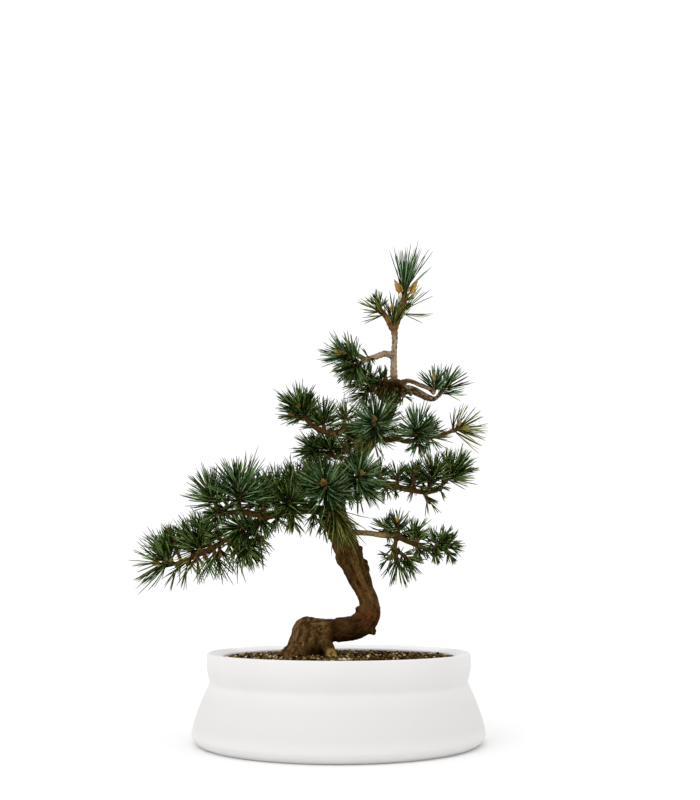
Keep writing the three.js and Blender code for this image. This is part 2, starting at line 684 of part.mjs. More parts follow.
const tree = new THREE.Group();
tree.add(meshOf("pot", pot(), MATERIALS.pot));
tree.add(meshOf("soil", soil(footing(GAP + 2 * SMOOTHING)), MATERIALS.soil));
tree.add(meshOf("wood", wood(), MATERIALS.wood));
for (const [name, needles] of needlesOf()) {
  const [, , , , tone] = SHOOTS[name];
  const pieces = [coreSolid(shootLine(SHOOTS[name])), ...needles.map(needleSolid)];
  tree.add(meshOf("needles_" + name, simplified(wasm.Manifold.union(pieces)), MATERIALS[tone]));
}

export default tree;
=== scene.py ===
"""A japanese white pine bonsai in a round white pot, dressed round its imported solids.

Sizes are in metres unless a name ends in _MM, with Z up and the table at Z = 0. The tree's front faces -Y.
The limbs and shoots repeat the tree's skeleton, and every piece is modelled round it.
"""

import logging
import math
import random
from dataclasses import dataclass
from enum import Enum
from itertools import pairwise

import bmesh
import bpy
import numpy as np
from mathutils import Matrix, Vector, noise

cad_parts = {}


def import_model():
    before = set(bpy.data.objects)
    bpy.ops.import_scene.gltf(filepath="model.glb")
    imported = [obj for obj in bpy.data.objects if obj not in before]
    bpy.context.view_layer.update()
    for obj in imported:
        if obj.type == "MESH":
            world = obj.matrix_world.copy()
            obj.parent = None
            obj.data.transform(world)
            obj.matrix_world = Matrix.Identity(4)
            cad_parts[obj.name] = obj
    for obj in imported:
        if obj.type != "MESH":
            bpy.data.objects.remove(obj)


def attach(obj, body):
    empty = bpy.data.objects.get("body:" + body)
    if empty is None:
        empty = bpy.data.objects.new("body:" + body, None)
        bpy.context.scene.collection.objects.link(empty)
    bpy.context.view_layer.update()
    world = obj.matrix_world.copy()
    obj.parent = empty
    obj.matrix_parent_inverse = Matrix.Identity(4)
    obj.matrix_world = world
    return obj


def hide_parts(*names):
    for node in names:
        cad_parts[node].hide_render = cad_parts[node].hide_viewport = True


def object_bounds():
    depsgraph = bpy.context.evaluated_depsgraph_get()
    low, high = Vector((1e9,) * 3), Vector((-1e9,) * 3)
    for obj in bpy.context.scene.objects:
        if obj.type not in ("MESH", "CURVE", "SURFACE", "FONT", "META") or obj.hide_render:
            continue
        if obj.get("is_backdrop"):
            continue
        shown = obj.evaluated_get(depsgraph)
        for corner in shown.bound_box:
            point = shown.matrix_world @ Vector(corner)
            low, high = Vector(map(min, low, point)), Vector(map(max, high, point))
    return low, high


log = logging.getLogger("bonsai")

MM = 0.001
BODY = "root"
GOLDEN_ANGLE = math.pi * (3 - math.sqrt(5))
SHARP_ANGLE = math.radians(50)
# How much smaller each ring that closes a turned piece's flat base is than the one before it.
BASE_RING_SHARES = (0.75, 0.6, 0.5, 0.35)

Point = tuple[float, float, float]
Colour = tuple[float, float, float]
# A place in millimetres and the radius there.
Station = tuple[float, float, float, float]
# Two ends of a smooth rise, a range to draw from, or a radius and a height.
Span = tuple[float, float]
# Where something starts, where it is full, where it starts to fade and where it is gone.
Band = tuple[float, float, float, float]


class Tone(Enum):
    """The needle colours of the sprays."""

    DEEP = "needles_deep"
    BLUE = "needles_blue"
    FRESH = "needles_fresh"


@dataclass(frozen=True)
class Shoot:
    """A twig that carries a spray of needles, in millimetres.

    grows and ends are where the twig leaves its branch and where its bud ends, reach is the needles' length,
    and bundles how many bundles of five it carries. wide is the widest angle of a needle to the twig in
    degrees, droop how far the tips may hang as a share of the length, and tone the needles' colour. The
    needles stand on a core that is core_share of the twig and at most longest_core long.
    """

    grows: Point
    ends: Point
    reach: float
    bundles: int
    wide: float = 88
    droop: float = 0.05
    tone: Tone = Tone.DEEP
    core_share: float = 0.62
    longest_core: float = 11.0

    def core_length(self) -> float:
        """The length of the stretch that carries the needles."""
        return min(self.longest_core, self.core_share * math.dist(self.grows, self.ends))


BLUE, FRESH = Tone.BLUE, Tone.FRESH

# The limbs, each a path of (x, y, z, radius) in millimetres, from where it grows to its end.
LIMBS_MM: dict[str, tuple[Station, ...]] = {
    "foot": ((-28, 0, 50, 18.5), (-28, 0, 66, 17.5), (-27, -1, 77, 15.5), (-26, -1, 85, 13)),
    "trunk_low": (
        (-25, -1, 85, 12.8), (-13, -3, 86, 10.8), (3, -6, 88, 9.8), (14, -5, 90, 10), (23, -3, 97, 10.5),
        (25, -1, 109, 9), (21, 0, 120, 8.5), (17, 1, 129, 9.5), (12, 2, 140, 10.5), (7, 3, 152, 11),
        (3, 4, 163, 11), (-1, 5, 175, 10.5), (-4, 6, 188, 9.5), (-3, 7, 201, 8),
    ),
    "trunk_high": (
        (-4, 6, 190, 9.2), (-3, 7, 201, 8), (2, 8, 214, 7.5), (12, 8, 228, 6.5), (23, 8, 241, 6),
        (35, 7, 257, 5.5), (44, 5, 273, 5), (48, 3, 288, 5.5),
    ),
    "leader": (
        (48, 3, 285, 4.6), (47, 1, 299, 3.4), (47, 0, 319, 2.8), (48, 0, 335, 2.7), (47, 0, 346, 3.8),
    ),
    "root_front_right": ((-15, -6, 80, 6.5), (-9, -13, 74, 5.5), (-6, -20, 68, 4.8), (-3, -28, 60, 3.5)),
    "root_front_left": ((-32, -7, 72, 9), (-37, -18, 68, 7), (-42, -29, 63, 5), (-46, -38, 57, 3.5)),
    "root_left": ((-34, 1, 71, 9), (-42, 2, 67, 7), (-50, 3, 61, 5), (-56, 4, 55, 3.5)),
    "root_back_left": ((-31, 8, 72, 9), (-38, 19, 68, 7), (-45, 29, 62, 5), (-50, 36, 56, 3.5)),
    "root_back_right": ((-24, 8, 73, 9), (-17, 19, 69, 7), (-9, 28, 63, 5), (-4, 34, 57, 3.5)),
    "root_right": ((-17, 3, 73, 8), (-9, 6, 69, 6), (-1, 8, 63, 4.5), (5, 10, 57, 3.5)),
    "leader_right": ((48, 0, 344, 3.4), (52, 0, 356, 2.9), (55, 0, 367, 2.4)),
    "leader_left": ((46, 0, 344, 3.4), (43, 0, 350, 3.0), (39, 1, 357, 2.3), (34, 2, 364, 1.5)),
    "top_left": (
        (46, 0, 319, 3.2), (39, -4, 320, 3.0), (31, -9, 316, 2.8), (24, -14, 313, 2.3),
        (18, -17, 309, 1.9),
    ),
    "knot_left": ((47, 3, 289, 3.5), (39, 12, 294, 3), (30, 20, 298, 2.4), (24, 26, 301, 2)),
    "top_right": (
        (48, 3, 287, 3.6), (56, 6, 291, 3.8), (64, 10, 290.5, 3.7), (77, 15, 285, 3.2), (84, 16, 284, 2.1),
    ),
    "top_right_upper": (
        (48, 1, 294, 2.6), (59, -5, 296, 2.2), (69, -6, 292, 2.0), (77, 0, 290, 1.8), (82, 8, 287, 1.7),
    ),
    "left_upper": (
        (42, 6, 268, 4), (28, 6, 264, 3.4), (15, 2, 260, 3.1), (7, -4, 256, 2.8), (-1, -8, 251, 2.6),
        (-11, -13, 250, 2.4), (-21, -17, 254, 2.2), (-27, -20, 259, 2),
    ),
    "front_upper": ((38, 6, 261, 3), (35, -4, 254, 2.4), (31, -12, 250, 2)),
    "right_upper": (
        (30, 7, 250, 3), (39, 0, 246, 2.6), (49, -8, 245, 2.4), (58, -15, 242, 2.3), (70, -21, 244, 2.1),
        (81, -25, 245, 1.9), (91, -27, 248, 1.7),
    ),
    "back_left_middle": ((11, 8, 227, 3), (4, 18, 232, 2.5), (-5, 27, 235, 2.2), (-15, 32, 238, 1.9)),
    "front_middle": ((-4, 4, 190, 3.5), (-7, -8, 192, 2.9), (-9, -18, 195, 2.4)),
    "front_right": ((-3, 6, 200, 3), (6, -8, 204, 2.5), (12, -17, 207, 2.1)),
    "right_middle": (
        (0, 7, 211, 4), (15, 13, 212, 3.4), (30, 20, 212, 3.1), (44, 25, 210, 2.9), (55, 29, 207, 2.6),
        (66, 32, 205, 2.4), (76, 35, 204, 2.3), (84, 36, 206, 2.1), (90, 36, 210, 1.9),
    ),
    "low_right": (
        (4, 4, 168, 3.6), (14, -2, 167, 2.7), (26, -7, 166, 2.5), (36, -12, 164, 2.4), (47, -16, 163, 2.4),
        (56, -19, 159, 2.3), (65, -21, 155, 2.1), (75, -23, 152, 1.9), (86, -24, 152, 1.7),
    ),
    "low_right_hanging": ((47, -16, 163, 1.9), (46, -19, 155, 1.7), (46, -21, 149, 1.6)),
    "left_main": (
        (-5, 5, 185, 5), (-18, -2, 186, 4.1), (-31, -9, 185, 3.6), (-44, -14, 183, 3.4),
        (-58, -17, 180, 3.2), (-69, -19, 181, 2.8), (-81, -20, 183, 2.5), (-92, -21, 182, 2.2),
        (-99, -21, 184, 1.9),
    ),
    "left_low": (
        (-57, -17, 180, 3), (-68, -11, 174, 2.8), (-75, -5, 166, 2.6), (-83, -1, 163, 2.6),
        (-94, 3, 162, 2.6), (-104, 7, 156, 2.5), (-115, 10, 151, 2.4), (-126, 13, 146, 2.1),
        (-136, 15, 142, 1.9), (-142, 16, 141, 1.7),
    ),
    "back_middle": ((-3, 8, 195, 3.2), (-8, 30, 202, 2.5), (-16, 52, 209, 2)),
    "back_upper": ((16, 9, 233, 3), (23, 30, 241, 2.3), (29, 48, 247, 1.9)),
    "back_left": ((-44, -14, 183, 2.6), (-53, 12, 190, 2.1), (-60, 34, 196, 1.8)),
    "knot_loop": (
        (45, 3, 280, 2.4), (39, -3, 286, 2.5), (41, -6, 294, 2.3), (49, -6, 296, 2.1), (57, -3, 290, 1.9),
        (62, 1, 284, 1.6),
    ),
    "knot_low": ((46, 2, 276, 2.4), (38, -5, 279, 2.1), (32, -6, 285, 1.8), (27, -3, 290, 1.5)),
}
# The round knee over the foot, and the swelling above the elbow.
SWELLINGS_MM: tuple[Station, ...] = ((-26, -1, 84.5, 13.8), (7, 1, 146, 10.4))
# The stumps and scars of old branches, and the knotted foot of the leader.
KNOTS_MM: tuple[Station, ...] = (
    (-2.5, -7, 92.8, 4.2), (16.6, -6, 104, 2.8), (27, -6, 87, 3.6), (22.3, 0, 138, 3.3), (21.2, 0, 142, 2.7),
    (16.4, 0, 152.5, 3.1), (17.4, 0, 148.5, 2.6), (44, -1, 284, 3.6), (53, 4, 293, 3.4), (45, 6, 295, 3.2),
    (48, 0, 288, 4.2), (38, -3, 285, 3.4), (34, -3, 289, 2.6), (43, -3, 279, 3.4),
)

# The shoots that stand for one solid each.
SHOOTS: dict[str, Shoot] = {
    "crown": Shoot((55, 0, 367), (58, -1, 384), 43, 13, 22, tone=BLUE),
    "crown_front": Shoot((47, -1, 343), (46, -8, 357), 22, 7, 46),
    "crown_left": Shoot((41, 1, 353), (33, 4, 363), 21, 11, 56, tone=FRESH),
    "crown_right": Shoot((49, 0, 351), (59, 9, 365), 34, 5, 66, tone=FRESH),
    "top_left_rear": Shoot((23, -15, 312), (6, -6, 323), 15, 18, 50),
    "top_left_end": Shoot((18, -17, 309), (1, -22, 316), 24, 26, 76, tone=BLUE),
    "top_left_low": Shoot((18, -17, 309), (12, -22, 304), 21, 30, 80),
    "knot_left_end": Shoot((24, 26, 301), (17, 31, 307), 21, 28),
    "knot_left_low": Shoot((31, 19, 298), (20, 12, 285), 20, 15, 80),
    "top_right_end": Shoot((84, 16, 284), (96, 17, 298), 26, 13, 54, tone=BLUE),
    "top_right_bud": Shoot((82, 8, 287), (82, 4, 299), 18, 15, 60, tone=BLUE),
    "left_upper_end": Shoot((-27, -20, 259), (-35, -26, 272), 24, 40, 84),
    "left_upper_mid": Shoot((-12, -13, 250), (-15, -4, 267), 22, 32),
    "left_upper_rear": Shoot((3, -6, 253), (6, 4, 271), 19, 12, 80),
    "front_upper_end": Shoot((31, -12, 250), (29, -27, 258), 29, 42, tone=BLUE),
    "front_upper_low": Shoot((33, -9, 251), (22, -18, 242), 18, 22, 50, tone=FRESH),
    "right_upper_mid": Shoot((64, -18, 243), (65, -27, 251), 26, 38, 92, tone=BLUE),
    "right_upper_rear": Shoot((72, -22, 244), (78, -14, 246), 20, 13, 80, tone=BLUE),
    "right_upper_end": Shoot((91, -27, 248), (102, -29, 252), 27, 11, 84, tone=FRESH),
    "back_left_middle_end": Shoot((-15, 32, 238), (-27, 37, 244), 21, 30),
    "back_left_middle_mid": Shoot((-5, 27, 235), (-12, 34, 248), 24, 36, 92),
    "front_middle_end": Shoot((-9, -18, 195), (-12, -37, 204), 31, 46, tone=BLUE),
    "front_right_end": Shoot((12, -17, 207), (18, -32, 213), 28, 40, tone=BLUE),
    "front_right_low": Shoot((9, -13, 205), (25, -22, 203), 24, 26, 84),
    "right_middle_inner": Shoot((50, 27, 208), (51, 36, 221), 18, 13, 70),
    "right_middle_rear": Shoot((66, 32, 205), (65, 44, 219), 21, 26),
    "right_middle_mid": Shoot((77, 35, 204), (83, 27, 224), 24, 32),
    "right_middle_end": Shoot((90, 36, 210), (104, 36, 225), 26, 36, 70),
    "right_middle_low": Shoot((74, 34, 204), (79, 31, 193), 15, 4, 50, tone=FRESH),
    "low_right_up": Shoot((49, -17, 162), (48, -24, 175), 17, 14, 80),
    "low_right_inner": Shoot((40, -13, 164), (39, 1, 173), 16, 18),
    "low_right_mid": Shoot((59, -20, 158), (64, -12, 168), 16, 18, 80),
    "low_right_outer": Shoot((77, -23, 152), (82, -33, 159), 16, 20),
    "low_right_end": Shoot((86, -24, 152), (89, -34, 157), 14, 17),
    "low_right_hanging_end": Shoot((46, -21, 149), (49, -25, 137), 21, 9, 66),
    "low_right_hanging_side": Shoot((46, -20, 153), (59, -28, 141), 16, 16, 80),
    "left_main_end": Shoot((-99, -21, 184), (-107, -24, 201), 27, 30, 76),
    "left_main_third": Shoot((-82, -20, 183), (-81, -30, 203), 36, 38, 84, tone=BLUE),
    "left_main_second": Shoot((-68, -19, 181), (-68, -9, 200), 27, 34),
    "left_main_rear": Shoot((-51, -15, 182), (-53, 2, 204), 28, 34),
    "left_main_front": Shoot((-42, -13, 183), (-40, -31, 191), 26, 28),
    "left_main_inner": Shoot((-29, -8, 185), (-34, 0, 210), 25, 32),
    "left_main_low": Shoot((-23, -5, 186), (-19, -14, 176), 17, 9, 84),
    "left_low_end": Shoot((-142, 16, 141), (-156, 16, 142), 31, 13, 84),
    "left_low_up": Shoot((-142, 16, 141), (-149, 20, 155), 27, 31, 46),
    "left_low_mid": Shoot((-117, 11, 151), (-124, 18, 162), 28, 36, 84),
    "left_low_under": Shoot((-119, 11, 150), (-122, 5, 142), 24, 5, 56, tone=FRESH),
    "left_low_rear": Shoot((-108, 8, 155), (-118, 26, 172), 24, 32),
    "left_low_hanging": Shoot((-106, 7, 155), (-105, 12, 144), 29, 7, 66),
    "left_low_second": Shoot((-79, -3, 164), (-75, -9, 151), 21, 36, 80),
    "left_low_inner": Shoot((-73, -7, 168), (-84, -16, 172), 22, 34, 96),
    "trunk_hanging": Shoot((-7, -8, 192), (-1, -16, 177), 37, 15, 30, 0.1, FRESH),
    "back_middle_end": Shoot((-16, 52, 209), (-26, 66, 222), 26, 34),
    "back_middle_mid": Shoot((-9, 34, 203), (-1, 51, 217), 25, 30),
    "back_upper_end": Shoot((29, 48, 247), (36, 61, 258), 25, 14),
    "back_upper_mid": Shoot((24, 33, 242), (11, 44, 255), 24, 32),
    "back_left_end": Shoot((-60, 34, 196), (-68, 48, 208), 25, 32),
}

# Small shoots on the inner twigs, with shorter and sparser needles.
INNER_SHOOTS: tuple[Shoot, ...] = tuple(Shoot(*row) for row in (
    ((32, 18, 297), (25, 14, 309), 13, 8, 80), ((38, 13, 294), (34, 5, 301), 13, 12),
    ((47, 4, 282), (38, -8, 285), 10, 4), ((51, 4, 289), (56, -8, 281), 10, 8),
    ((3, -3, 203), (10, -9, 195), 13, 12, 88, 0.1), ((35, 22, 211), (36, 16, 222), 14, 12, 80),
    ((-21, -4, 186), (-21, -12, 196), 14, 14), ((-41, -13, 184), (-37, -19, 173), 14, 10, 70, 0.1, FRESH),
    ((-64, -18, 180), (-64, -16, 172), 18, 16, 80, 0.1),
    ((-52, -16, 181), (-50, -24, 174), 14, 10, 80, 0.1), ((-97, -21, 183), (-103, -13, 180), 15, 16),
    ((-92, 2, 162), (-93, 6, 154), 11, 8, 80, 0.1), ((-117, 11, 150), (-118, 5, 156), 12, 8, 80),
    ((63, -21, 156), (66, -23, 148), 10, 8, 60, 0.1), ((77, -23, 152), (79, -25, 145), 9, 7, 60, 0.1),
    ((86, -24, 152), (92, -22, 146), 9, 6, 60, 0.1), ((46, -19, 156), (42, -23, 151), 9, 6, 70, 0.1),
    ((78, 35, 204), (77, 27, 209), 11, 8), ((88, 36, 209), (88, 28, 204), 10, 7, 80, 0.1),
    ((51, 28, 208), (47, 18, 204), 10, 7, 80, 0.1), ((-15, 32, 238), (-22, 24, 232), 12, 8),
    ((-25, -19, 257), (-25, -17, 280), 12, 9, 60), ((-27, -20, 259), (-43, -28, 263), 12, 8, 70),
    ((76, -23, 244), (74, -25, 259), 12, 8, 70, 0.05, BLUE), ((17, 8, 233), (1, -6, 237), 12, 10),
    ((-94, -21, 182), (-90, -29, 189), 14, 12), ((-64, -18, 180), (-61, -28, 187), 13, 12),
    ((-72, -7, 169), (-76, -15, 177), 13, 12), ((-98, 5, 160), (-104, -3, 165), 13, 12),
    ((-134, 15, 143), (-145, 19, 166), 16, 14, 80), ((-142, 16, 141), (-155, 16, 151), 14, 11, 80),
    ((39, 23, 211), (41, 17, 202), 11, 8, 80, 0.1),
    ((67, -20, 244), (65, -22, 236), 13, 12, 80, 0.1, BLUE),
    ((44, 5, 274), (42, -9, 279), 13, 7, 88, 0.05, BLUE), ((-8, -12, 250), (-2, -18, 246), 12, 8, 80, 0.1),
    ((-27, -7, 185), (-22, -17, 193), 13, 10), ((-18, -2, 186), (-10, -16, 168), 14, 9, 70, 0.2),
    ((-7, 28, 236), (-18, 16, 224), 13, 10, 80), ((82, -24, 152), (87, -22, 167), 11, 8, 80),
    ((63, -21, 156), (64, -29, 162), 11, 8), ((47, 0, 342), (46, -3, 350), 16, 6, 50),
    ((28, -11, 315), (21, -17, 312), 13, 8, 80), ((38, 13, 295), (41, 7, 304), 10, 7),
    ((35, 16, 296), (36, 8, 288), 10, 7), ((55, 0, 365), (59, 5, 372), 13, 9, 50, 0.05, FRESH),
    ((36, 2, 361), (33, -1, 367), 14, 7, 60), ((-138, 15, 141), (-150, 10, 145), 12, 6, 80, 0.1),
    ((-27, -20, 259), (-30, -17, 274), 14, 9, 60), ((-9, -18, 195), (3, -26, 192), 13, 10, 88, 0.1),
    ((-2, 5, 178), (-7, -7, 170), 15, 9, 50, 0.2), ((-74, -5, 166), (-71, -13, 175), 12, 10, 80, 0.1),
    ((-123, 12, 147), (-136, 17, 171), 13, 12, 60), ((-83, -20, 183), (-84, -28, 212), 20, 12, 50, 0.02),
    ((-36, -11, 184), (-38, -15, 210), 25, 13, 50, 0.02), ((34, 16, 296), (25, 11, 294), 12, 9, 70),
    ((64, 32, 205), (67, 26, 226), 13, 9, 60), ((90, 36, 210), (96, 30, 236), 13, 10, 70),
    ((-133, 14, 143), (-139, 10, 138), 24, 3, 46, 0.1), ((-127, 13, 146), (-129, 9, 139), 24, 3, 46, 0.1),
    ((-115, 10, 151), (-111, 6, 143), 25, 2, 40, 0.1), ((-83, -1, 163), (-81, -9, 146), 13, 6, 60, 0.2),
    ((-95, -21, 183), (-94, -26, 181), 11, 8, 70, 0.1), ((70, -22, 153), (72, -27, 150), 9, 7, 60, 0.1),
    ((46, -21, 149), (38, -25, 143), 12, 5, 70, 0.1), ((-72, -7, 169), (-66, -15, 158), 10, 7, 70, 0.2),
    ((-4, 6, 185), (-16, -4, 176), 11, 6, 60, 0.1), ((-87, 0, 163), (-84, -6, 147), 27, 3, 44, 0.3),
    ((-71, -8, 170), (-63, -14, 156), 25, 3, 54, 0.3), ((-101, 6, 158), (-100, 0, 144), 25, 3, 40, 0.2),
))

# Shoots that end in several buds: how many, their length and their radius, in millimetres.
BUD_CLUSTERS: dict[str, tuple[int, float, float]] = {
    "crown": (2, 9, 2.2),
    "crown_front": (1, 9, 2.3),
    "crown_right": (1, 9, 2.2),
    "top_left_end": (3, 9, 2.1),
    "top_right_bud": (1, 8, 2.0),
    "top_right_end": (2, 7, 1.7),
    "left_upper_end": (3, 9, 2.2),
    "front_upper_end": (3, 9, 2.0),
    "right_upper_mid": (3, 7, 1.7),
    "right_upper_end": (2, 7, 1.8),
    "front_middle_end": (4, 11, 1.9),
    "front_right_end": (3, 7, 1.8),
    "left_main_third": (3, 9, 2.1),
    "left_main_end": (2, 7, 1.8),
    "left_low_end": (2, 7, 1.8),
    "low_right_up": (2, 6, 1.6),
}
# The two cone-like buds at the foot of the crown: where each starts, where it ends and its radius.
CONES_MM: tuple[tuple[Point, Point, float], ...] = (
    ((54, -3, 375), (47, -6, 387), 2.1), ((61, -2, 375), (69, -4, 387), 2.1),
)


class Graph:
    """A material's node tree, with one method that adds any node."""

    def __init__(self, name: str) -> None:
        """Starts a material of its own.

        Args:
            name: the material's name.
        """
        self.material = bpy.data.materials.new(name)
        self.material.use_nodes = True
        self.tree = self.material.node_tree
        self.tree.nodes.clear()
        self.shader = self.node("ShaderNodeBsdfPrincipled")
        output = self.node("ShaderNodeOutputMaterial")
        self.tree.links.new(self.shader.outputs["BSDF"], output.inputs["Surface"])

    def node(self, kind: str, settings: dict | None = None, inputs: dict | None = None) -> bpy.types.Node:
        """Adds a node.

        Args:
            kind: the node's type.
            settings: its own settings, which are set first.
            inputs: a value, a colour or a link for each of its sockets, by name or number.

        Returns:
            The new node.
        """
        node = self.tree.nodes.new(kind)
        for name, value in (settings or {}).items():
            setattr(node, name, value)
        for name, value in (inputs or {}).items():
            self.feed(node.inputs[name], value)
        return node

    def feed(self, socket: bpy.types.NodeSocket, value: object) -> None:
        """Gives a socket a link or a constant.

        Args:
            socket: the socket to feed.
            value: a Value, a socket, a number or a colour.
        """
        if isinstance(value, Value):
            value = value.socket
        if isinstance(value, bpy.types.NodeSocket):
            self.tree.links.new(value, socket)
        elif isinstance(value, (tuple, list)) and len(value) == 3 and socket.type == "RGBA":
            socket.default_value = (*value, 1)
        else:
            socket.default_value = value

    def value(self, kind: str, output: str | int, settings: dict | None = None, **inputs: object) -> "Value":
        """Adds a node, feeds its sockets by name and wraps one of its outputs."""
        return Value(self, self.node(kind, settings, inputs).outputs[output])

    def attribute(self, name: str, output: str = "Fac") -> "Value":
        """A number or vector that the mesh carries."""
        return self.value("ShaderNodeAttribute", output, {"attribute_name": name})

    def place(self) -> "Value":
        """The place on the piece, in metres."""
        return self.value("ShaderNodeTexCoord", "Object")

    def axis(self, vector: "Value", name: str) -> "Value":
        """One component of a vector, by its letter."""
        return self.value("ShaderNodeSeparateXYZ", name, Vector=vector)

    def scaled(self, vector: "Value", by: Point) -> "Value":
        """A vector with each component multiplied."""
        return self.value("ShaderNodeMapping", "Vector", {"vector_type": "POINT"}, Vector=vector, Scale=by)

    def noise(self, vector: "Value", scale: float, detail: float = 3, roughness: float = 0.5) -> "Value":
        """Soft noise between 0 and 1 with so many lumps a metre."""
        inputs = {"Vector": vector, "Scale": scale, "Detail": detail, "Roughness": roughness}
        return self.value("ShaderNodeTexNoise", 0, None, **inputs)

    def cells(self, vector: "Value", scale: float) -> "Value":
        """The distance to the middle of the nearest cell, with so many cells a metre."""
        return self.value("ShaderNodeTexVoronoi", "Distance", None, Vector=vector, Scale=scale)

    def between(self, value: "Value", low: float, high: float) -> "Value":
        """0 at the low end, 1 at the high end and a smooth rise between."""
        inputs = {"Value": value, "From Min": low, "From Max": high}
        return self.value("ShaderNodeMapRange", 0, {"interpolation_type": "SMOOTHSTEP"}, **inputs)

    def zone(self, value: "Value", foot: float, full: float, still: float, gone: float) -> "Value":
        """1 between two places, with a smooth rise from the foot and a smooth fall until it is gone."""
        return self.between(value, foot, full) * (1 - self.between(value, still, gone))

    def mix(self, factor: object, first: object, second: object) -> "Value":
        """A colour between two colours, the first at a factor of 0 and the second at 1."""
        node = self.node("ShaderNodeMix", {"data_type": "RGBA"}, {0: factor, 6: first, 7: second})
        return Value(self, node.outputs[2])

    def layered(self, colour: object, *layers: tuple["Value", Colour]) -> "Value":
        """Lays colours over a colour, each as far as its mask lets it.

        Args:
            colour: the colour at the bottom, or a link.
            *layers: the mask and the colour of each layer, from below.

        Returns:
            The colour on top.
        """
        for mask, paint in layers:
            colour = self.mix(mask, colour, paint)
        return colour

    def bump(self, height: "Value", depth: float, strength: float = 1.0) -> "Value":
        """A normal tilted by a height, where a height of 1 is as many metres as the depth."""
        return self.value("ShaderNodeBump", "Normal", None, Height=height, Distance=depth, Strength=strength)

    def finish(self, colour: "Value", roughness: "Value", normal: "Value | None" = None,
               specular: float = 0.5, tint: Colour = (1, 1, 1)) -> bpy.types.Material:
        """Feeds the shader and hands over the material.

        Args:
            colour: its base colour.
            roughness: its roughness.
            normal: its normal, if it has relief.
            specular: how strong its reflections are, the same all over.
            tint: the colour of its reflections, the same all over.

        Returns:
            The finished material.
        """
        inputs = self.shader.inputs
        self.feed(inputs["Base Color"], colour)
        self.feed(inputs["Roughness"], roughness)
        if normal is not None:
            self.feed(inputs["Normal"], normal)
        inputs["Specular IOR Level"].default_value = specular
        inputs["Specular Tint"].default_value = (*tint, 1)
        return self.material


class Value:
    """A socket that takes part in Python arithmetic. Each expression adds its Math nodes."""

    def __init__(self, graph: Graph, socket: bpy.types.NodeSocket) -> None:
        """Wraps a socket of a graph."""
        self.graph = graph
        self.socket = socket

    def math(self, operation: str, *operands: object) -> "Value":
        """Adds a Math node, with its operands in order, and wraps its result."""
        node = self.graph.node("ShaderNodeMath", {"operation": operation}, dict(enumerate(operands)))
        return Value(self.graph, node.outputs[0])

    def __add__(self, other: object) -> "Value":
        """The sum."""
        return self.math("ADD", self, other)

    def __radd__(self, other: object) -> "Value":
        """The sum, from the right."""
        return self.math("ADD", other, self)

    def __sub__(self, other: object) -> "Value":
        """The difference."""
        return self.math("SUBTRACT", self, other)

    def __rsub__(self, other: object) -> "Value":
        """The difference, from the right."""
        return self.math("SUBTRACT", other, self)

    def __mul__(self, other: object) -> "Value":
        """The product."""
        return self.math("MULTIPLY", self, other)

    def __rmul__(self, other: object) -> "Value":
        """The product, from the right."""
        return self.math("MULTIPLY", other, self)


@dataclass(frozen=True)
class Ceramic:
    """Matt white ceramic, faintly mottled and pitted.

    The lower body is painted darker as shade, the foot paler as painted light where the base turns under, and
    the far lip paler still as a painted highlight. body_shade_top and foot_light_top are the heights over
    which the lower two end, lip_highlight_height and lip_highlight_depth the height and the depth over which
    the far lip's painted highlight begins. turning squeezes the turning marks.
    """

    pale: Colour = (0.735, 0.725, 0.715)
    shaded: Colour = (0.705, 0.693, 0.682)
    # Painted shade on the lower body.
    body: Colour = (0.670, 0.660, 0.654)
    # Painted light on the foot.
    foot: Colour = (0.765, 0.753, 0.745)
    # A painted highlight on the far side of the lip.
    painted_far_lip_highlight: Colour = (0.880, 0.875, 0.870)
    speck: Colour = (0.50, 0.47, 0.42)
    body_shade_top: Span = (0.032, 0.050)
    foot_light_top: Span = (0.003, 0.018)
    lip_highlight_height: Span = (0.0655, 0.0670)
    lip_highlight_depth: Span = (0.030, 0.060)
    turning: Point = (1, 1, 60)
    relief: float = 0.00012

    def material(self) -> bpy.types.Material:
        """Builds the finish.

        Returns:
            Its material.
        """
        g = Graph("matt_white_ceramic")
        place = g.place()
        height, depth = g.axis(place, "Z"), g.axis(place, "Y")
        cloud = g.between(g.noise(place, 22, 4), 0.35, 0.7)
        specks = 1 - g.between(g.cells(place, 260), 0.03, 0.09)
        sparse = g.between(g.noise(place, 60, 1), 0.56, 0.62)
        colour = g.layered(
            self.pale,
            (cloud * 0.5, self.shaded),
            # Painted shade: the body below the waist is darker.
            (1 - g.between(height, *self.body_shade_top), self.body),
            # Painted light: the foot is paler where the base turns under.
            (1 - g.between(height, *self.foot_light_top), self.foot),
            # Painted highlight: the far side of the lip is paler.
            (g.between(height, *self.lip_highlight_height) * g.between(depth, *self.lip_highlight_depth), self.painted_far_lip_highlight),
            (specks * sparse * 0.35, self.speck),
        )
        relief = g.noise(place, 900, 2) * 0.4 + g.noise(g.scaled(place, self.turning), 9, 2) * 0.6
        return g.finish(colour, g.noise(place, 80, 3) * 0.16 + 0.5, g.bump(relief, self.relief))


@dataclass(frozen=True)
class Earth:
    """Dark, damp bonsai soil between the grains."""

    dark: Colour = (0.012, 0.008, 0.004)
    brown: Colour = (0.06, 0.035, 0.014)
    relief: float = 0.0008
    specular: float = 0.05

    def material(self) -> bpy.types.Material:
        """Builds the finish.

        Returns:
            Its material.
        """
        g = Graph("dark_earth")
        lumps = g.noise(g.place(), 420, 5, 0.65)
        colour = g.mix(g.between(lumps, 0.35, 0.7), self.dark, self.brown)
        roughness = g.noise(g.place(), 150, 2) * 0.15 + 0.82
        return g.finish(colour, roughness, g.bump(lumps, self.relief), self.specular)


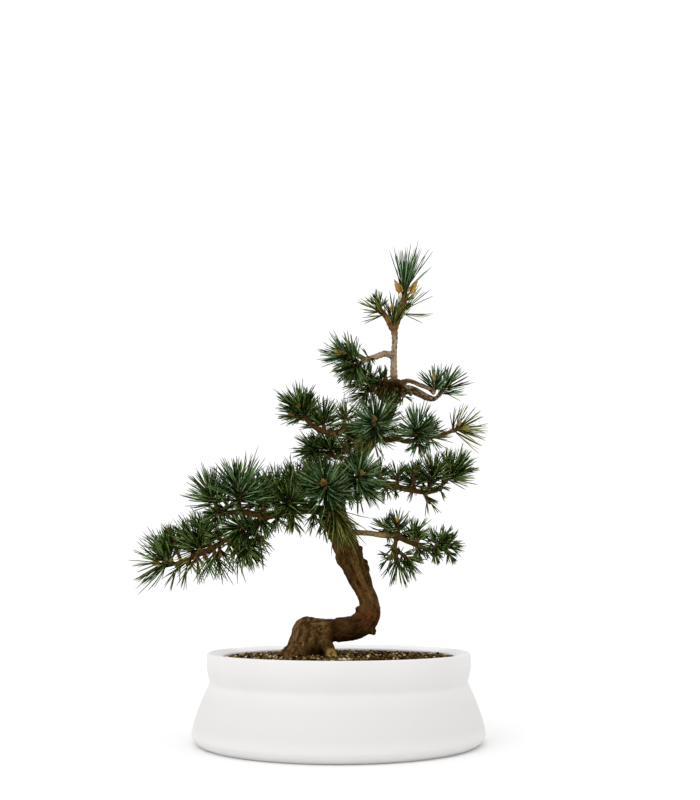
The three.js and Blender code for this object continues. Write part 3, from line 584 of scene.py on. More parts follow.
@dataclass(frozen=True)
class Grit:
    """Fired clay grains, mostly dark, some ochre or pale. The mesh carries tone, how pale each grain is."""

    dark: Colour = (0.008, 0.002, 0.0004)
    brown: Colour = (0.070, 0.034, 0.006)
    ochre: Colour = (0.29, 0.18, 0.055)
    pale: Colour = (0.66, 0.57, 0.37)
    relief: float = 0.00025
    specular: float = 0.04

    def material(self) -> bpy.types.Material:
        """Builds the finish.

        Returns:
            Its material.
        """
        g = Graph("clay_grains")
        place = g.place()
        tone = g.attribute("tone") + (g.noise(place, 900, 2) - 0.5) * 0.25
        colour = g.layered(
            self.dark,
            (g.between(tone, 0.16, 0.42), self.brown),
            (g.between(tone, 0.42, 0.68), self.ochre),
            (g.between(tone, 0.70, 0.88), self.pale),
        )
        roughness = g.noise(place, 300, 2) * 0.2 + 0.75
        return g.finish(colour, roughness, g.bump(g.noise(place, 1600, 3), self.relief), self.specular)


@dataclass(frozen=True)
class Bark:
    """Pine bark: dark and furrowed on the trunk, ochre on the knee, pale on the leader, brown on the twigs,
    with painted shade in the cracks, the cleft, the hollow by the foot and towards the knee's foot.

    The mesh carries girth, the limb's radius in metres, limb, a vector that runs round and along the limb,
    and from 0 to 1 the depth of its cracks, each plate's own number and its scars. A field that ends in x, y
    or z says where along that axis a part of the tree lies, one in top or foot over which heights it ends or
    begins, and twig_girth over which radii a limb is no longer a twig.
    """

    # The furrows' own colour, also used as painted shade in the cracks, the cleft and the hollow.
    furrow_and_shade: Colour = (0.010, 0.004, 0.0007)
    dark: Colour = (0.022, 0.008, 0.002)
    brown: Colour = (0.088, 0.041, 0.011)
    ochre: Colour = (0.225, 0.130, 0.044)
    straw: Colour = (0.460, 0.330, 0.125)
    ash: Colour = (0.370, 0.285, 0.180)
    amber: Colour = (0.520, 0.330, 0.085)
    rust: Colour = (0.130, 0.018, 0.004)
    resin: Colour = (0.260, 0.120, 0.036)
    lichen: Colour = (0.085, 0.070, 0.014)
    twig: Colour = (0.100, 0.050, 0.014)
    twig_girth: Span = (0.003, 0.0065)
    knee_x: Band = (-0.060, -0.050, -0.015, -0.006)
    knee_shade_foot: Span = (0.058, 0.088)
    knee_top: Span = (0.088, 0.112)
    hollow_shade_x: Band = (-0.030, -0.025, -0.012, -0.007)
    hollow_shade_top: Span = (0.069, 0.082)
    root_x: Band = (-0.014, -0.010, -0.003, 0.002)
    root_y: Span = (-0.012, -0.004)
    root_top: Span = (0.068, 0.077)
    arm_x: Band = (-0.010, -0.004, 0.012, 0.022)
    arm_top: Span = (0.088, 0.106)
    elbow_x: Band = (0.013, 0.018, 0.023, 0.027)
    elbow_z: Band = (0.090, 0.095, 0.101, 0.106)
    trunk_z: Band = (0.104, 0.114, 0.156, 0.172)
    mossy_z: Band = (0.125, 0.165, 0.192, 0.210)
    low_branch_x: Band = (0.010, 0.016, 0.034, 0.044)
    low_branch_z: Band = (0.158, 0.161, 0.170, 0.173)
    tangle_x: Span = (0.050, 0.058)
    tangle_z: Band = (0.266, 0.276, 0.292, 0.300)
    crook_x: Band = (0.052, 0.058, 0.084, 0.090)
    crook_z: Band = (0.274, 0.282, 0.300, 0.306)
    leader_z: Band = (0.292, 0.306, 0.332, 0.346)
    fork_foot: Span = (0.334, 0.346)
    relief: float = 0.0016
    specular: float = 0.05
    tint: Colour = (1, 0.75, 0.4)

    def material(self) -> bpy.types.Material:
        """Builds the finish.

        Returns:
            Its material.
        """
        g = Graph("pine_bark")
        place = g.place()
        limb = g.attribute("limb", "Vector")
        girth, crack, plate, scar = (g.attribute(name) for name in ("girth", "crack", "plate", "scar"))
        x, y, z = (g.axis(place, letter) for letter in "XYZ")
        long = g.scaled(limb, (1, 1, 0.45))
        fine = g.noise(long, 640, 3, 0.65)
        grit = g.noise(limb, 1100, 2, 0.6)
        cloud = g.noise(place, 55, 3)
        patch = g.noise(place, 130, 3)
        mottle = g.noise(long, 300, 4, 0.7)
        streak = g.noise(g.scaled(limb, (1, 1, 0.1)), 260, 3, 0.6)
        tone = plate * 0.25 + mottle * 0.45 + fine * 0.3
        light = g.between(tone, 0.43, 0.60)

        thick = g.between(girth, *self.twig_girth)
        knee = g.zone(x, *self.knee_x) * (1 - g.between(z, *self.knee_top))
        # Painted shade in the hollow between the foot and the front root.
        hollow_shade = g.zone(x, *self.hollow_shade_x) * (1 - g.between(z, *self.hollow_shade_top))
        root = g.zone(x, *self.root_x) * (1 - g.between(z, *self.root_top))
        root = root * (1 - g.between(y, *self.root_y))
        arm = g.zone(x, *self.arm_x) * (1 - g.between(z, *self.arm_top))
        elbow = g.zone(x, *self.elbow_x) * g.zone(z, *self.elbow_z)
        trunk = g.zone(z, *self.trunk_z) * thick
        mossy = g.zone(z, *self.mossy_z) * thick
        low_branch = g.zone(x, *self.low_branch_x) * g.zone(z, *self.low_branch_z)
        tangle = g.zone(z, *self.tangle_z) * (1 - g.between(x, *self.tangle_x))
        crook = g.zone(x, *self.crook_x) * g.zone(z, *self.crook_z)
        leader = g.zone(z, *self.leader_z)
        # Dark in the cracks, the cleft and random flecks: partly the bark's own colour, partly painted shade.
        deep = g.between(crack, 0.35, 1.0) * 0.5 + (1 - g.between(fine, 0.30, 0.44)) * 0.5

        colour = g.layered(
            self.dark,
            (g.between(tone, 0.38, 0.58), self.brown),
            (g.between(cloud, 0.50, 0.72) * thick * 0.3, self.ochre),
            (trunk * g.between(streak, 0.48, 0.62) * 0.45, self.ochre),
            # Ochre knee bark, lighter with height: the fading towards the knee's foot is painted shade.
            (knee * (light * 0.7 + 0.12) * g.between(z, *self.knee_shade_foot), self.ochre),
            (knee * g.between(grit, 0.56, 0.68) * light * 0.55, self.straw),
            (arm * 0.55, self.dark),
            ((1 - thick) * 0.7, self.twig),
            ((1 - thick) * g.between(cloud, 0.48, 0.62) * 0.5, self.lichen),
            (low_branch * (1 - thick) * 0.75, self.straw),
            (leader * g.between(tone, 0.36, 0.54), self.ash),
            (tangle * (0.9 - light * 0.6), self.furrow_and_shade),
            (crook * g.between(tone, 0.47, 0.55) * 0.85, self.ash),
            (g.between(z, *self.fork_foot) * g.between(tone, 0.38, 0.56), self.resin),
            (elbow * g.between(g.noise(long, 260, 2), 0.50, 0.60) * 0.6, self.rust),
            (mossy * g.between(patch, 0.40, 0.60) * 0.6, self.lichen),
            (root * g.between(patch, 0.34, 0.50) * 0.9, self.amber),
            # Painted shade: the hollow is nearly black.
            (hollow_shade * g.between(fine, 0.28, 0.50) * 0.95, self.furrow_and_shade),
            (scar * g.between(grit, 0.40, 0.60) * 0.5, self.furrow_and_shade),
            (deep * (1 - leader * 0.45), self.furrow_and_shade),
        )
        normal = g.bump(mottle * 0.3 + fine * 0.4 + grit * 0.3, self.relief, 0.8)
        return g.finish(colour, patch * 0.2 + 0.72, normal, self.specular, self.tint)


@dataclass(frozen=True)
class Needles:
    """Pine needles: a dark back and two paler inner faces, yellowish at the tip and painted dark towards the
    root, as shade inside the tuft and partly their brown sheath.

    The mesh carries stage, from 0 at a needle's root to 1 at its tip, shade, a number for each needle, and
    inner, which is 1 on the two inner faces. A needle is dry from a shade of dry_from, and tip_from and
    root_shade_to are the stages over which its tip begins and its root's painted shade ends.
    """

    name: str
    back: Colour
    back_light: Colour
    inner: Colour
    inner_light: Colour
    tip: Colour = (0.16, 0.17, 0.045)
    root: Colour = (0.012, 0.009, 0.002)
    dry: Colour = (0.20, 0.12, 0.035)
    dry_from: Span = (0.985, 0.99)
    tip_from: Span = (0.80, 1.0)
    root_shade_to: Span = (0.0, 0.62)
    relief: float = 0.00005
    specular: float = 0.06
    tint: Colour = (0.8, 1, 0.05)

    def material(self) -> bpy.types.Material:
        """Builds the finish.

        Returns:
            Its material.
        """
        g = Graph(self.name)
        stage, shade = g.attribute("stage"), g.attribute("shade")
        mottle = g.noise(g.place(), 500, 2)
        back = g.mix(g.between(shade + mottle * 0.3, 0.3, 1.2), self.back, self.back_light)
        face = g.mix(g.between(shade * 0.85 + mottle * 0.45, 0.45, 1.15), self.inner, self.inner_light)
        colour = g.layered(
            g.mix(g.attribute("inner"), back, face),
            (g.between(shade, *self.dry_from), self.dry),
            (g.between(stage, *self.tip_from) * 0.5, self.tip),
        )
        # Painted shade: each needle darkens towards its root, where the tuft shades it, partly its brown
        # sheath.
        colour = g.mix(g.between(stage, *self.root_shade_to) * 0.86 + 0.14, self.root, colour)
        normal = g.bump(g.noise(g.place(), 1500, 1), self.relief)
        return g.finish(colour, mottle * 0.16 + 0.36, normal, self.specular, self.tint)


NEEDLES: dict[Tone, Needles] = {
    Tone.DEEP: Needles(
        "deep_green_needles",
        back=(0.0018, 0.0060, 0.0001),
        back_light=(0.017, 0.037, 0.001),
        inner=(0.008, 0.024, 0.001),
        inner_light=(0.230, 0.355, 0.100),
    ),
    Tone.BLUE: Needles(
        "blue_green_needles",
        back=(0.0014, 0.0070, 0.0003),
        back_light=(0.013, 0.041, 0.004),
        inner=(0.009, 0.036, 0.007),
        inner_light=(0.285, 0.460, 0.210),
    ),
    Tone.FRESH: Needles(
        "yellow_green_needles",
        back=(0.013, 0.016, 0.0003),
        back_light=(0.085, 0.090, 0.004),
        inner=(0.050, 0.056, 0.004),
        inner_light=(0.430, 0.440, 0.120),
    ),
}


@dataclass(frozen=True)
class BudScales:
    """Resinous bud scales, orange-brown with pale papery tips, and brown bracts.

    The mesh carries stage, from 0 at a scale's root to 1 at its tip, and bud, which is 0 on a bract, 1 on a
    large bud's scale and between on a small one's.
    """

    bract: Colour = (0.085, 0.040, 0.012)
    bract_light: Colour = (0.200, 0.100, 0.030)
    brown: Colour = (0.230, 0.110, 0.020)
    orange: Colour = (0.520, 0.330, 0.060)
    tip: Colour = (0.600, 0.500, 0.150)
    relief: float = 0.0002

    def material(self) -> bpy.types.Material:
        """Builds the finish.

        Returns:
            Its material.
        """
        g = Graph("bud_scales")
        place = g.place()
        patch = g.noise(place, 350, 3)
        bud = g.mix(g.between(patch, 0.35, 0.65), self.brown, self.orange)
        bud = g.mix(g.between(g.attribute("stage"), 0.55, 1.0) * 0.7, bud, self.tip)
        bract = g.mix(g.between(patch, 0.40, 0.70), self.bract, self.bract_light)
        colour = g.mix(g.attribute("bud"), bract, bud)
        return g.finish(colour, patch * 0.2 + 0.5, g.bump(g.noise(place, 1400, 2), self.relief))


@dataclass(frozen=True)
class Moss:
    """Cushion moss, green at the tips and brown below. The mesh carries stage, 0 below and 1 at the tip."""

    below: Colour = (0.030, 0.022, 0.006)
    green: Colour = (0.090, 0.090, 0.018)
    gold: Colour = (0.210, 0.180, 0.045)
    relief: float = 0.0001

    def material(self) -> bpy.types.Material:
        """Builds the finish.

        Returns:
            Its material.
        """
        g = Graph("cushion_moss")
        place = g.place()
        patch = g.noise(place, 130, 3)
        tips = g.mix(g.between(patch, 0.4, 0.65), self.green, self.gold)
        colour = g.mix(g.attribute("stage"), self.below, tips)
        return g.finish(colour, patch * 0.2 + 0.75, g.bump(g.noise(place, 2200, 2), self.relief))


@dataclass(frozen=True)
class Backdrop:
    """The studio's plain pale floor."""

    pale: Colour = (0.85, 0.85, 0.85)
    soft: Colour = (0.84, 0.84, 0.842)

    def material(self) -> bpy.types.Material:
        """Builds the finish.

        Returns:
            Its material.
        """
        g = Graph("pale_floor")
        colour = g.mix(g.noise(g.place(), 1.6, 3), self.pale, self.soft)
        return g.finish(colour, g.noise(g.place(), 5, 2) * 0.1 + 0.8)


def deselect_all() -> None:
    """Deselects every object."""
    bpy.ops.object.select_all(action="DESELECT")


def select_only(*pieces: bpy.types.Object) -> None:
    """Selects some pieces and nothing else.

    Args:
        *pieces: the pieces, of which the first becomes active.
    """
    deselect_all()
    for piece in pieces:
        piece.select_set(True)
    bpy.context.view_layer.objects.active = pieces[0]


def apply_modifier(piece: bpy.types.Object, kind: str, **settings: object) -> None:
    """Adds a modifier to a piece and applies it.

    Args:
        piece: the piece.
        kind: the modifier's type.
        **settings: the modifier's settings.
    """
    select_only(piece)
    modifier = piece.modifiers.new(kind.lower(), kind)
    for name, value in settings.items():
        setattr(modifier, name, value)
    bpy.ops.object.modifier_apply(modifier=modifier.name)


def smooth_faces(piece: bpy.types.Object) -> None:
    """Shades a piece smooth between its sharp edges."""
    select_only(piece)
    bpy.ops.object.shade_smooth_by_angle(angle=SHARP_ANGLE)


def mesh_piece(name: str, places: np.ndarray, corners: np.ndarray) -> bpy.types.Object:
    """Makes a piece of triangles.

    Args:
        name: the piece's name.
        places: its points, one in a row.
        corners: the three points of each triangle.

    Returns:
        The new piece.
    """
    mesh = bpy.data.meshes.new(name)
    mesh.from_pydata(places.tolist(), [], corners.tolist())
    piece = bpy.data.objects.new(name, mesh)
    bpy.context.scene.collection.objects.link(piece)
    return piece


def carry(piece: bpy.types.Object, name: str, values: np.ndarray, kind: str = "FLOAT",
          on: str = "POINT") -> None:
    """Stores numbers or vectors on a piece's points or faces.

    Args:
        piece: the piece.
        name: the attribute's name.
        values: its values, in order.
        kind: FLOAT or FLOAT_VECTOR.
        on: POINT or FACE.
    """
    attribute = piece.data.attributes.new(name, kind, on)
    field = "vector" if kind == "FLOAT_VECTOR" else "value"
    attribute.data.foreach_set(field, np.ascontiguousarray(values, np.float32).ravel())


def per_point(piece: bpy.types.Object, field: str = "co") -> np.ndarray:
    """Reads a vector from each of a piece's points.

    Args:
        piece: the piece.
        field: co for the points' places, or normal for the directions that they face.

    Returns:
        The vectors, one in a row.
    """
    values = np.empty(len(piece.data.vertices) * 3, np.float32)
    piece.data.vertices.foreach_get(field, values)
    return values.reshape(-1, 3).astype(float)


def move_points(piece: bpy.types.Object, places: np.ndarray) -> None:
    """Moves a piece's points to new places, one in a row."""
    piece.data.vertices.foreach_set("co", places.astype(np.float32).ravel())


def finished(piece: bpy.types.Object, material: bpy.types.Material,
             nodes: tuple[str, ...] = ()) -> None:
    """Dresses a finished piece and lets it ride with the tree.

    Args:
        piece: the piece, with its place in its mesh.
        material: its finish.
        nodes: the solids that it stands for.
    """
    piece.data.materials.clear()
    piece.data.materials.append(material)
    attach(piece, BODY)
    if nodes:
        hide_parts(*nodes)
    piece.data.calc_loop_triangles()
    log.info("%s: %d triangles", piece.name, len(piece.data.loop_triangles))


def bezier(handles: tuple[Span, ...], steps: int) -> list[Span]:
    """Points along a curve of any degree.

    Args:
        handles: its ends and the handles between them.
        steps: how many points to give after the first.

    Returns:
        The points after the first.
    """
    found = []
    for step in range(1, steps + 1):
        line = [Vector(handle) for handle in handles]
        while len(line) > 1:
            line = [a.lerp(b, step / steps) for a, b in pairwise(line)]
        found.append(tuple(line[0]))
    return found


def extrude_rings(outline: list[Span] | tuple[Span, ...]) -> None:
    """Extrudes the selected ring along an outline in edit mode, and scales each new ring.

    Args:
        outline: the radius and height of the selected ring and of each ring after it.
    """
    for (radius, height), (next_radius, next_height) in pairwise(outline):
        share = next_radius / radius
        bpy.ops.mesh.extrude_region_move(TRANSFORM_OT_translate={"value": (0, 0, next_height - height)})
        bpy.ops.transform.resize(value=(share, share, 1), center_override=(0, 0, next_height))


def turned(name: str, outline: list[Span], sides: int) -> bpy.types.Object:
    """Turns an outline round the Z axis, as rings that are extruded and scaled one from another.

    Args:
        name: the piece's name.
        outline: its points, each a radius and a height. The last one lies near the axis and is closed there.
            The first one's ring is closed by a flat base.
        sides: how many sides a ring has.

    Returns:
        The closed piece.
    """
    deselect_all()
    radius, height = outline[0]
    bpy.ops.mesh.primitive_circle_add(vertices=sides, radius=radius, location=(0, 0, height))
    piece = bpy.context.object
    piece.name = name
    bpy.ops.object.transform_apply(location=True)
    bpy.ops.object.mode_set(mode="EDIT")
    bpy.ops.mesh.select_mode(type="EDGE")
    extrude_rings(outline)
    bpy.ops.mesh.merge(type="CENTER")
    bpy.ops.mesh.select_all(action="DESELECT")
    shape = bmesh.from_edit_mesh(piece.data)
    for edge in shape.edges:
        edge.select = edge.is_boundary
    bmesh.update_edit_mesh(piece.data)
    for share in BASE_RING_SHARES:
        bpy.ops.mesh.extrude_region_move()
        bpy.ops.transform.resize(value=(share, share, 1), center_override=(0, 0, height))
    bpy.ops.mesh.merge(type="CENTER")
    bpy.ops.mesh.select_all(action="SELECT")
    bpy.ops.mesh.normals_make_consistent(inside=False)
    bpy.ops.object.mode_set(mode="OBJECT")
    return piece


@dataclass
class Pot:
    """The turned pot: a flared body, a soft waist, an upright band, a broad lip and three drain holes."""

    height: float = 0.070
    foot: float = 0.1115
    foot_ease: float = 0.0028
    wide: float = 0.118
    wide_height: float = 0.008
    body_handles: tuple[Span, ...] = ((0.116, 0.022), (0.1095, 0.036))
    waist: float = 0.1045
    waist_height: float = 0.0475
    band_handle: Span = (0.107, 0.054)
    band_height: float = 0.060
    rim: float = 0.1074
    lip: float = 0.0945
    lip_height: float = 0.0676
    lip_round: float = 0.002
    wall: float = 0.0075
    floor: float = 0.009
    floor_rings: tuple[float, ...] = (0.7, 0.45, 0.2, 0.02)
    hole: float = 0.006
    hole_circle: float = 0.055
    hole_sides: int = 48
    holes: int = 3
    sides: int = 240

    def outline(self) -> list[Span]:
        """Draws the outline from the base, up the outside, over the lip and down to the middle of the floor.

        Returns:
            Its points, each a radius and a height.
        """
        wide, waist = (self.wide, self.wide_height), (self.waist, self.waist_height)
        lift = self.wide_height - self.foot_ease
        ease = (self.foot + self.foot_ease, lift / 4)
        points = [(self.foot, 0.0)]
        points += bezier(((self.foot, 0), ease, (self.wide, lift), wide), 8)
        points += bezier((wide, *self.body_handles, waist), 14)
        points += bezier((waist, self.band_handle, (self.rim, self.band_height)), 8)
        shoulder, crest = self.height - self.lip_round, self.rim - self.lip_round
        points += bezier(((self.rim, shoulder), (self.rim, self.height), (crest, self.height)), 5)
        edge, low = self.lip + self.lip_round, self.lip_height - self.lip_round
        points += bezier(((edge, self.lip_height), (self.lip, self.lip_height), (self.lip, low)), 5)
        inside, inner_wide = (self.waist - self.wall, self.waist_height), self.wide - self.wall
        corner = (inner_wide, self.wide_height + self.floor)
        points += bezier(((self.lip, low), inside), 4)
        points += bezier((inside, corner), 4)
        points += bezier((corner, (inner_wide, self.floor), (self.foot - self.wall, self.floor)), 4)
        points += [(self.foot * share, self.floor) for share in self.floor_rings]
        return points

    def build(self) -> None:
        """Turns the pot, drills its drain holes and glazes it."""
        pot = turned("white_pot", self.outline(), self.sides)
        for i in range(self.holes):
            angle = 2 * math.pi * i / self.holes
            place = (math.cos(angle) * self.hole_circle, math.sin(angle) * self.hole_circle, 0)
            deselect_all()
            bpy.ops.mesh.primitive_cylinder_add(
                vertices=self.hole_sides, radius=self.hole, depth=self.floor * 3, location=place
            )
            drill = bpy.context.object
            apply_modifier(pot, "BOOLEAN", operation="DIFFERENCE", object=drill, solver="EXACT")
            bpy.data.objects.remove(drill)
        smooth_faces(pot)
        finished(pot, Ceramic().material(), ("pot",))


@dataclass
class Soil:
    """The soil in the pot, the grains on it and the moss round the tree.

    uneven has a row for each layer of the top's lumps: its place in the noise, its lumps a metre and its
    height. The grains' sizes are their smallest, largest and usual radius.
    """

    edge: float = 0.0941
    edge_height: float = 0.0657
    crown_height: float = 0.0672
    back_dip: float = 0.0015
    dip_start: float = 0.2
    dip_power: float = 0.8
    uneven: tuple[Point, ...] = ((0.3, 45, 0.0010), (0.8, 160, 0.0005))
    bottom: float = 0.0093
    bottom_radius: float = 0.1035
    belly: Span = (0.1099, 0.017)
    waist: float = 0.0964
    waist_height: float = 0.0475
    gap: float = 0.0006
    rings: int = 36
    sides: int = 128
    grains: int = 5200
    grain_forms: int = 8
    grain_stretch: tuple[Span, ...] = ((0.75, 1.15), (0.75, 1.15), (0.6, 0.9))
    grain_jitter: Span = (0.8, 1.15)
    grain_sizes: Point = (0.0006, 0.0021, 0.0010)
    grain_rise: Span = (-0.1, 0.45)
    grain_tones: Span = (1.3, 2.2)
    grain_room: float = 0.0022
    moss_shoots: int = 1500
    moss_patches: float = 26
    moss_from: float = 0.32
    moss_heights: Span = (0.0012, 0.0026)
    moss_widths: Span = (0.0004, 0.0007)
    moss_lean: float = 0.4
    moss_root: float = -0.0006
    moss_room: float = 0.004
    wood_room: float = 0.0004
    seed: int = 11

    def level(self, x: float, y: float) -> float:
        """Works out the height of the soil's uneven top.

        Args:
            x: the place's X.
            y: the place's Y.

        Returns:
            The height there.
        """
        share = min(1.0, math.hypot(x, y) / self.edge)
        rise = (self.crown_height - self.edge_height) * math.cos(share * math.pi / 2)
        lump = sum(noise.noise(Vector((x, y, layer)) * scale) * depth for layer, scale, depth in self.uneven)
        dip = self.back_dip * min(1.0, max(0.0, y / self.edge + self.dip_start)) ** self.dip_power
        return self.edge_height + rise - dip + lump * (1 - share**8)

    def bed(self) -> bpy.types.Object:
        """Makes the body of the soil.

        Returns:
            A closed piece that fills the pot.
        """
        outline = [(self.bottom_radius, self.bottom), self.belly, (self.waist, self.waist_height)]
        outline.append((self.edge - self.gap, self.edge_height))
        for ring in range(self.rings):
            outline.append((self.edge * (1 - (ring + 0.5) / self.rings), self.edge_height))
        bed = turned("soil_bed", outline, self.sides)
        places = per_point(bed)
        for place in places:
            if place[2] > self.edge_height - 0.0001:
                place[2] = self.level(place[0], place[1])
        move_points(bed, places)
        smooth_faces(bed)
        return bed

    def spots(self, count: int, rng: random.Random, skeleton: "Skeleton", room: float) -> np.ndarray:
        """Places on the soil that the wood leaves free.

        Args:
            count: how many places to draw.
            rng: the random numbers.
            skeleton: the tree's limbs.
            room: how far the places stay from the pot's wall.

        Returns:
            The places, one in a row.
        """
        drawn = []
        for _ in range(count):
            radius = (self.edge - room) * math.sqrt(rng.random())
            angle = rng.uniform(0, 2 * math.pi)
            x, y = radius * math.cos(angle), radius * math.sin(angle)
            drawn.append((x, y, self.level(x, y)))
        places = np.array(drawn)
        return places[skeleton.nearest(places).gap > self.wood_room]

    def modelled_grains(self, rng: random.Random) -> tuple[list[np.ndarray], np.ndarray]:
        """Models a few angular grains of radius 1.

        Args:
            rng: the random numbers.

        Returns:
            The points of each grain, and the three points of each triangle, which are the same in all.
        """
        forms = []
        for _ in range(self.grain_forms):
            deselect_all()
            bpy.ops.mesh.primitive_ico_sphere_add(subdivisions=1, radius=1)
            grain = bpy.context.object
            stretch = np.array([rng.uniform(*ends) for ends in self.grain_stretch])
            jitter = np.array([rng.uniform(*self.grain_jitter) for _ in grain.data.vertices])[:, None]
            forms.append(per_point(grain) * stretch * jitter)
            corners = np.array([list(face.vertices) for face in grain.data.polygons])
            bpy.data.objects.remove(grain)
        return forms, corners

    def gravel(self, skeleton: "Skeleton") -> bpy.types.Object:
        """Scatters the clay grains on the soil.

        Args:
            skeleton: the tree's limbs, which they keep clear of.

        Returns:
            All grains, as one piece.
        """
        rng = random.Random(self.seed)
        forms, form_corners = self.modelled_grains(rng)
        places, corners, tones = [], [], []
        for spot in self.spots(self.grains, rng, skeleton, self.grain_room):
            size = rng.triangular(*self.grain_sizes)
            turn = rotation(Vector([rng.gauss(0, 1) for _ in range(3)]), rng.uniform(0, math.tau))
            grain = rng.choice(forms) @ turn.T * size + spot + (0, 0, size * rng.uniform(*self.grain_rise))
            corners.append(form_corners + len(places) * len(grain))
            places.append(grain)
            tones.append(np.full(len(grain), rng.betavariate(*self.grain_tones)))
        gravel = mesh_piece("soil_grains", np.concatenate(places), np.concatenate(corners))
        carry(gravel, "tone", np.concatenate(tones))
        return gravel

    def moss(self, skeleton: "Skeleton") -> bpy.types.Object:
        """Plants low moss in a few patches.

        Args:
            skeleton: the tree's limbs, which it keeps clear of.

        Returns:
            All its tiny leaning blades, as one piece.
        """
        rng = random.Random(self.seed + 1)
        blade = np.array([[0, 1, 3], [1, 2, 3], [2, 0, 3], [2, 1, 0]])
        places, corners, stages = [], [], []
        for spot in self.spots(self.moss_shoots * 6, rng, skeleton, self.moss_room):
            patch = noise.noise(Vector((spot[0], spot[1], 2.7)) * self.moss_patches)
            if patch < self.moss_from or len(places) >= self.moss_shoots:
                continue
            height, width = rng.uniform(*self.moss_heights), rng.uniform(*self.moss_widths)
            lean = np.array([rng.gauss(0, self.moss_lean), rng.gauss(0, self.moss_lean), 1]) * height
            start = rng.uniform(0, math.tau)
            ring = [start + k * math.tau / 3 for k in range(3)]
            foot = [spot + (math.cos(a) * width, math.sin(a) * width, self.moss_root) for a in ring]
            corners.append(blade + len(places) * 4)
            places.append(np.array([*foot, spot + lean]))
            stages.append((0, 0, 0, 1))
        moss = mesh_piece("moss", np.concatenate(places), np.concatenate(corners))
        carry(moss, "stage", np.concatenate(stages))
        return moss

    def build(self, skeleton: "Skeleton") -> None:
        """Makes the soil, its grains and its moss.

        Args:
            skeleton: the tree's limbs.
        """
        finished(self.bed(), Earth().material(), ("soil",))
        finished(self.gravel(skeleton), Grit().material())
        finished(self.moss(skeleton), Moss().material())


def ramp(values: np.ndarray, low: float, high: float) -> np.ndarray:
    """0 at the low end, 1 at the high end and a smooth rise between, for each of several numbers."""
    share = ((values - low) / (high - low)).clip(0, 1)
    return share * share * (3 - 2 * share)


def band(values: np.ndarray, foot: float, full: float, still: float, gone: float) -> np.ndarray:
    """1 between two places, with a smooth rise and a smooth fall, for each of several numbers."""
    return ramp(values, foot, full) * (1 - ramp(values, still, gone))


def rotation(axis: Vector, angle: float) -> np.ndarray:
    """Works out the matrix of a turn.

    Args:
        axis: what it turns about.
        angle: how far it turns, in radians.

    Returns:
        The matrix.
    """
    x, y, z = axis.normalized()
    cross = np.array([[0, -z, y], [z, 0, -x], [-y, x, 0]])
    return np.eye(3) + math.sin(angle) * cross + (1 - math.cos(angle)) * cross @ cross


def smooth_path(stations: tuple[Station, ...], spacing: float = 0.0025) -> np.ndarray:
    """A smooth path through stations in millimetres.

    Args:
        stations: the path's places and radii.
        spacing: how far apart its points are, in metres.

    Returns:
        The points and radii in metres, one in a row.
    """
    given = np.array(stations, float) * MM
    padded = np.vstack([2 * given[0] - given[1], given, 2 * given[-1] - given[-2]])
    points = [given[0]]
    for before, start, end, after in zip(padded, padded[1:], padded[2:], padded[3:]):
        steps = max(1, round(float(np.linalg.norm(end[:3] - start[:3])) / spacing))
        for step in range(1, steps + 1):
            t = step / steps
            bend = 2 * start + (end - before) * t
            bend = bend + (2 * before - 5 * start + 4 * end - after) * t**2
            points.append((bend + (3 * start - before - 3 * end + after) * t**3) / 2)
    return np.array(points)


@dataclass
class Nearest:
    """For each of several places, the limb that it is on.

    gap is how far the place is outside the limb, girth the limb's radius there, and limb the place as seen
    from the limb: two numbers across it and one along it.
    """

    gap: np.ndarray
    girth: np.ndarray
    limb: np.ndarray


@dataclass
class Skeleton:
    """The tree's limbs and twigs as short straight stretches.

    A twig's radii are those at its foot and at its end, in millimetres. first_side is where the bark's
    pattern starts round a limb, and offset how far apart two limbs lie in that pattern.
    """

    twig_radii: Span = (1.7, 1.3)
    inner_twig_radii: Span = (1.3, 0.9)
    first_side: Point = (0.31, 0.17, 0.93)
    offset: float = 0.37

    def __post_init__(self) -> None:
        """Works out the stretches of every limb and twig."""
        self.paths = {name: smooth_path(stations) for name, stations in LIMBS_MM.items()}
        for name, shoot in SHOOTS.items():
            self.paths["twig_" + name] = self.twig(shoot, self.twig_radii)
        for number, shoot in enumerate(INNER_SHOOTS):
            self.paths[f"inner_twig_{number}"] = self.twig(shoot, self.inner_twig_radii)
        rows = []
        for number, path in enumerate(self.paths.values()):
            along = number * self.offset
            side = Vector(self.first_side)
            for start, end in pairwise(path):
                run = Vector(end[:3] - start[:3])
                side = (side - side.project(run)).normalized()
                rows.append((*start[:3], *run, *side, start[3], end[3], along))
                along += run.length
        table = np.array(rows)
        self.starts, self.runs, self.sides = table[:, :3], table[:, 3:6], table[:, 6:9]
        self.radii, self.ends, self.distances = table[:, 9:].T
        self.lengths = np.linalg.norm(self.runs, axis=1)

    def twig(self, shoot: Shoot, radii: Span) -> np.ndarray:
        """The path of a shoot's twig, with its radii at both ends in millimetres."""
        return smooth_path(((*shoot.grows, radii[0]), (*shoot.ends, radii[1])))

    def nearest(self, places: np.ndarray) -> Nearest:
        """Finds the limb that each of several places is on.

        Args:
            places: the places, one in a row.

        Returns:
            What is known of the nearest limb at each place.
        """
        gaps, girths, limbs = [], [], []
        for chunk in np.array_split(places, max(1, len(places) // 4000)):
            apart = chunk[:, None] - self.starts
            share = ((apart * self.runs).sum(2) / self.lengths**2).clip(0, 1)
            off = apart - share[..., None] * self.runs
            girth = self.radii + share * (self.ends - self.radii)
            gap = np.linalg.norm(off, axis=2) - girth
            best = gap.argmin(1)
            row = np.arange(len(chunk))
            run = self.runs[best] / self.lengths[best, None]
            radial, side = off[row, best], self.sides[best]
            across = (radial * side).sum(1), (radial * np.cross(run, side)).sum(1)
            along = self.distances[best] + share[row, best] * self.lengths[best]
            gaps.append(gap[row, best])
            girths.append(girth[row, best])
            limbs.append(np.stack([*across, along], axis=1))
        return Nearest(np.concatenate(gaps), np.concatenate(girths), np.concatenate(limbs))


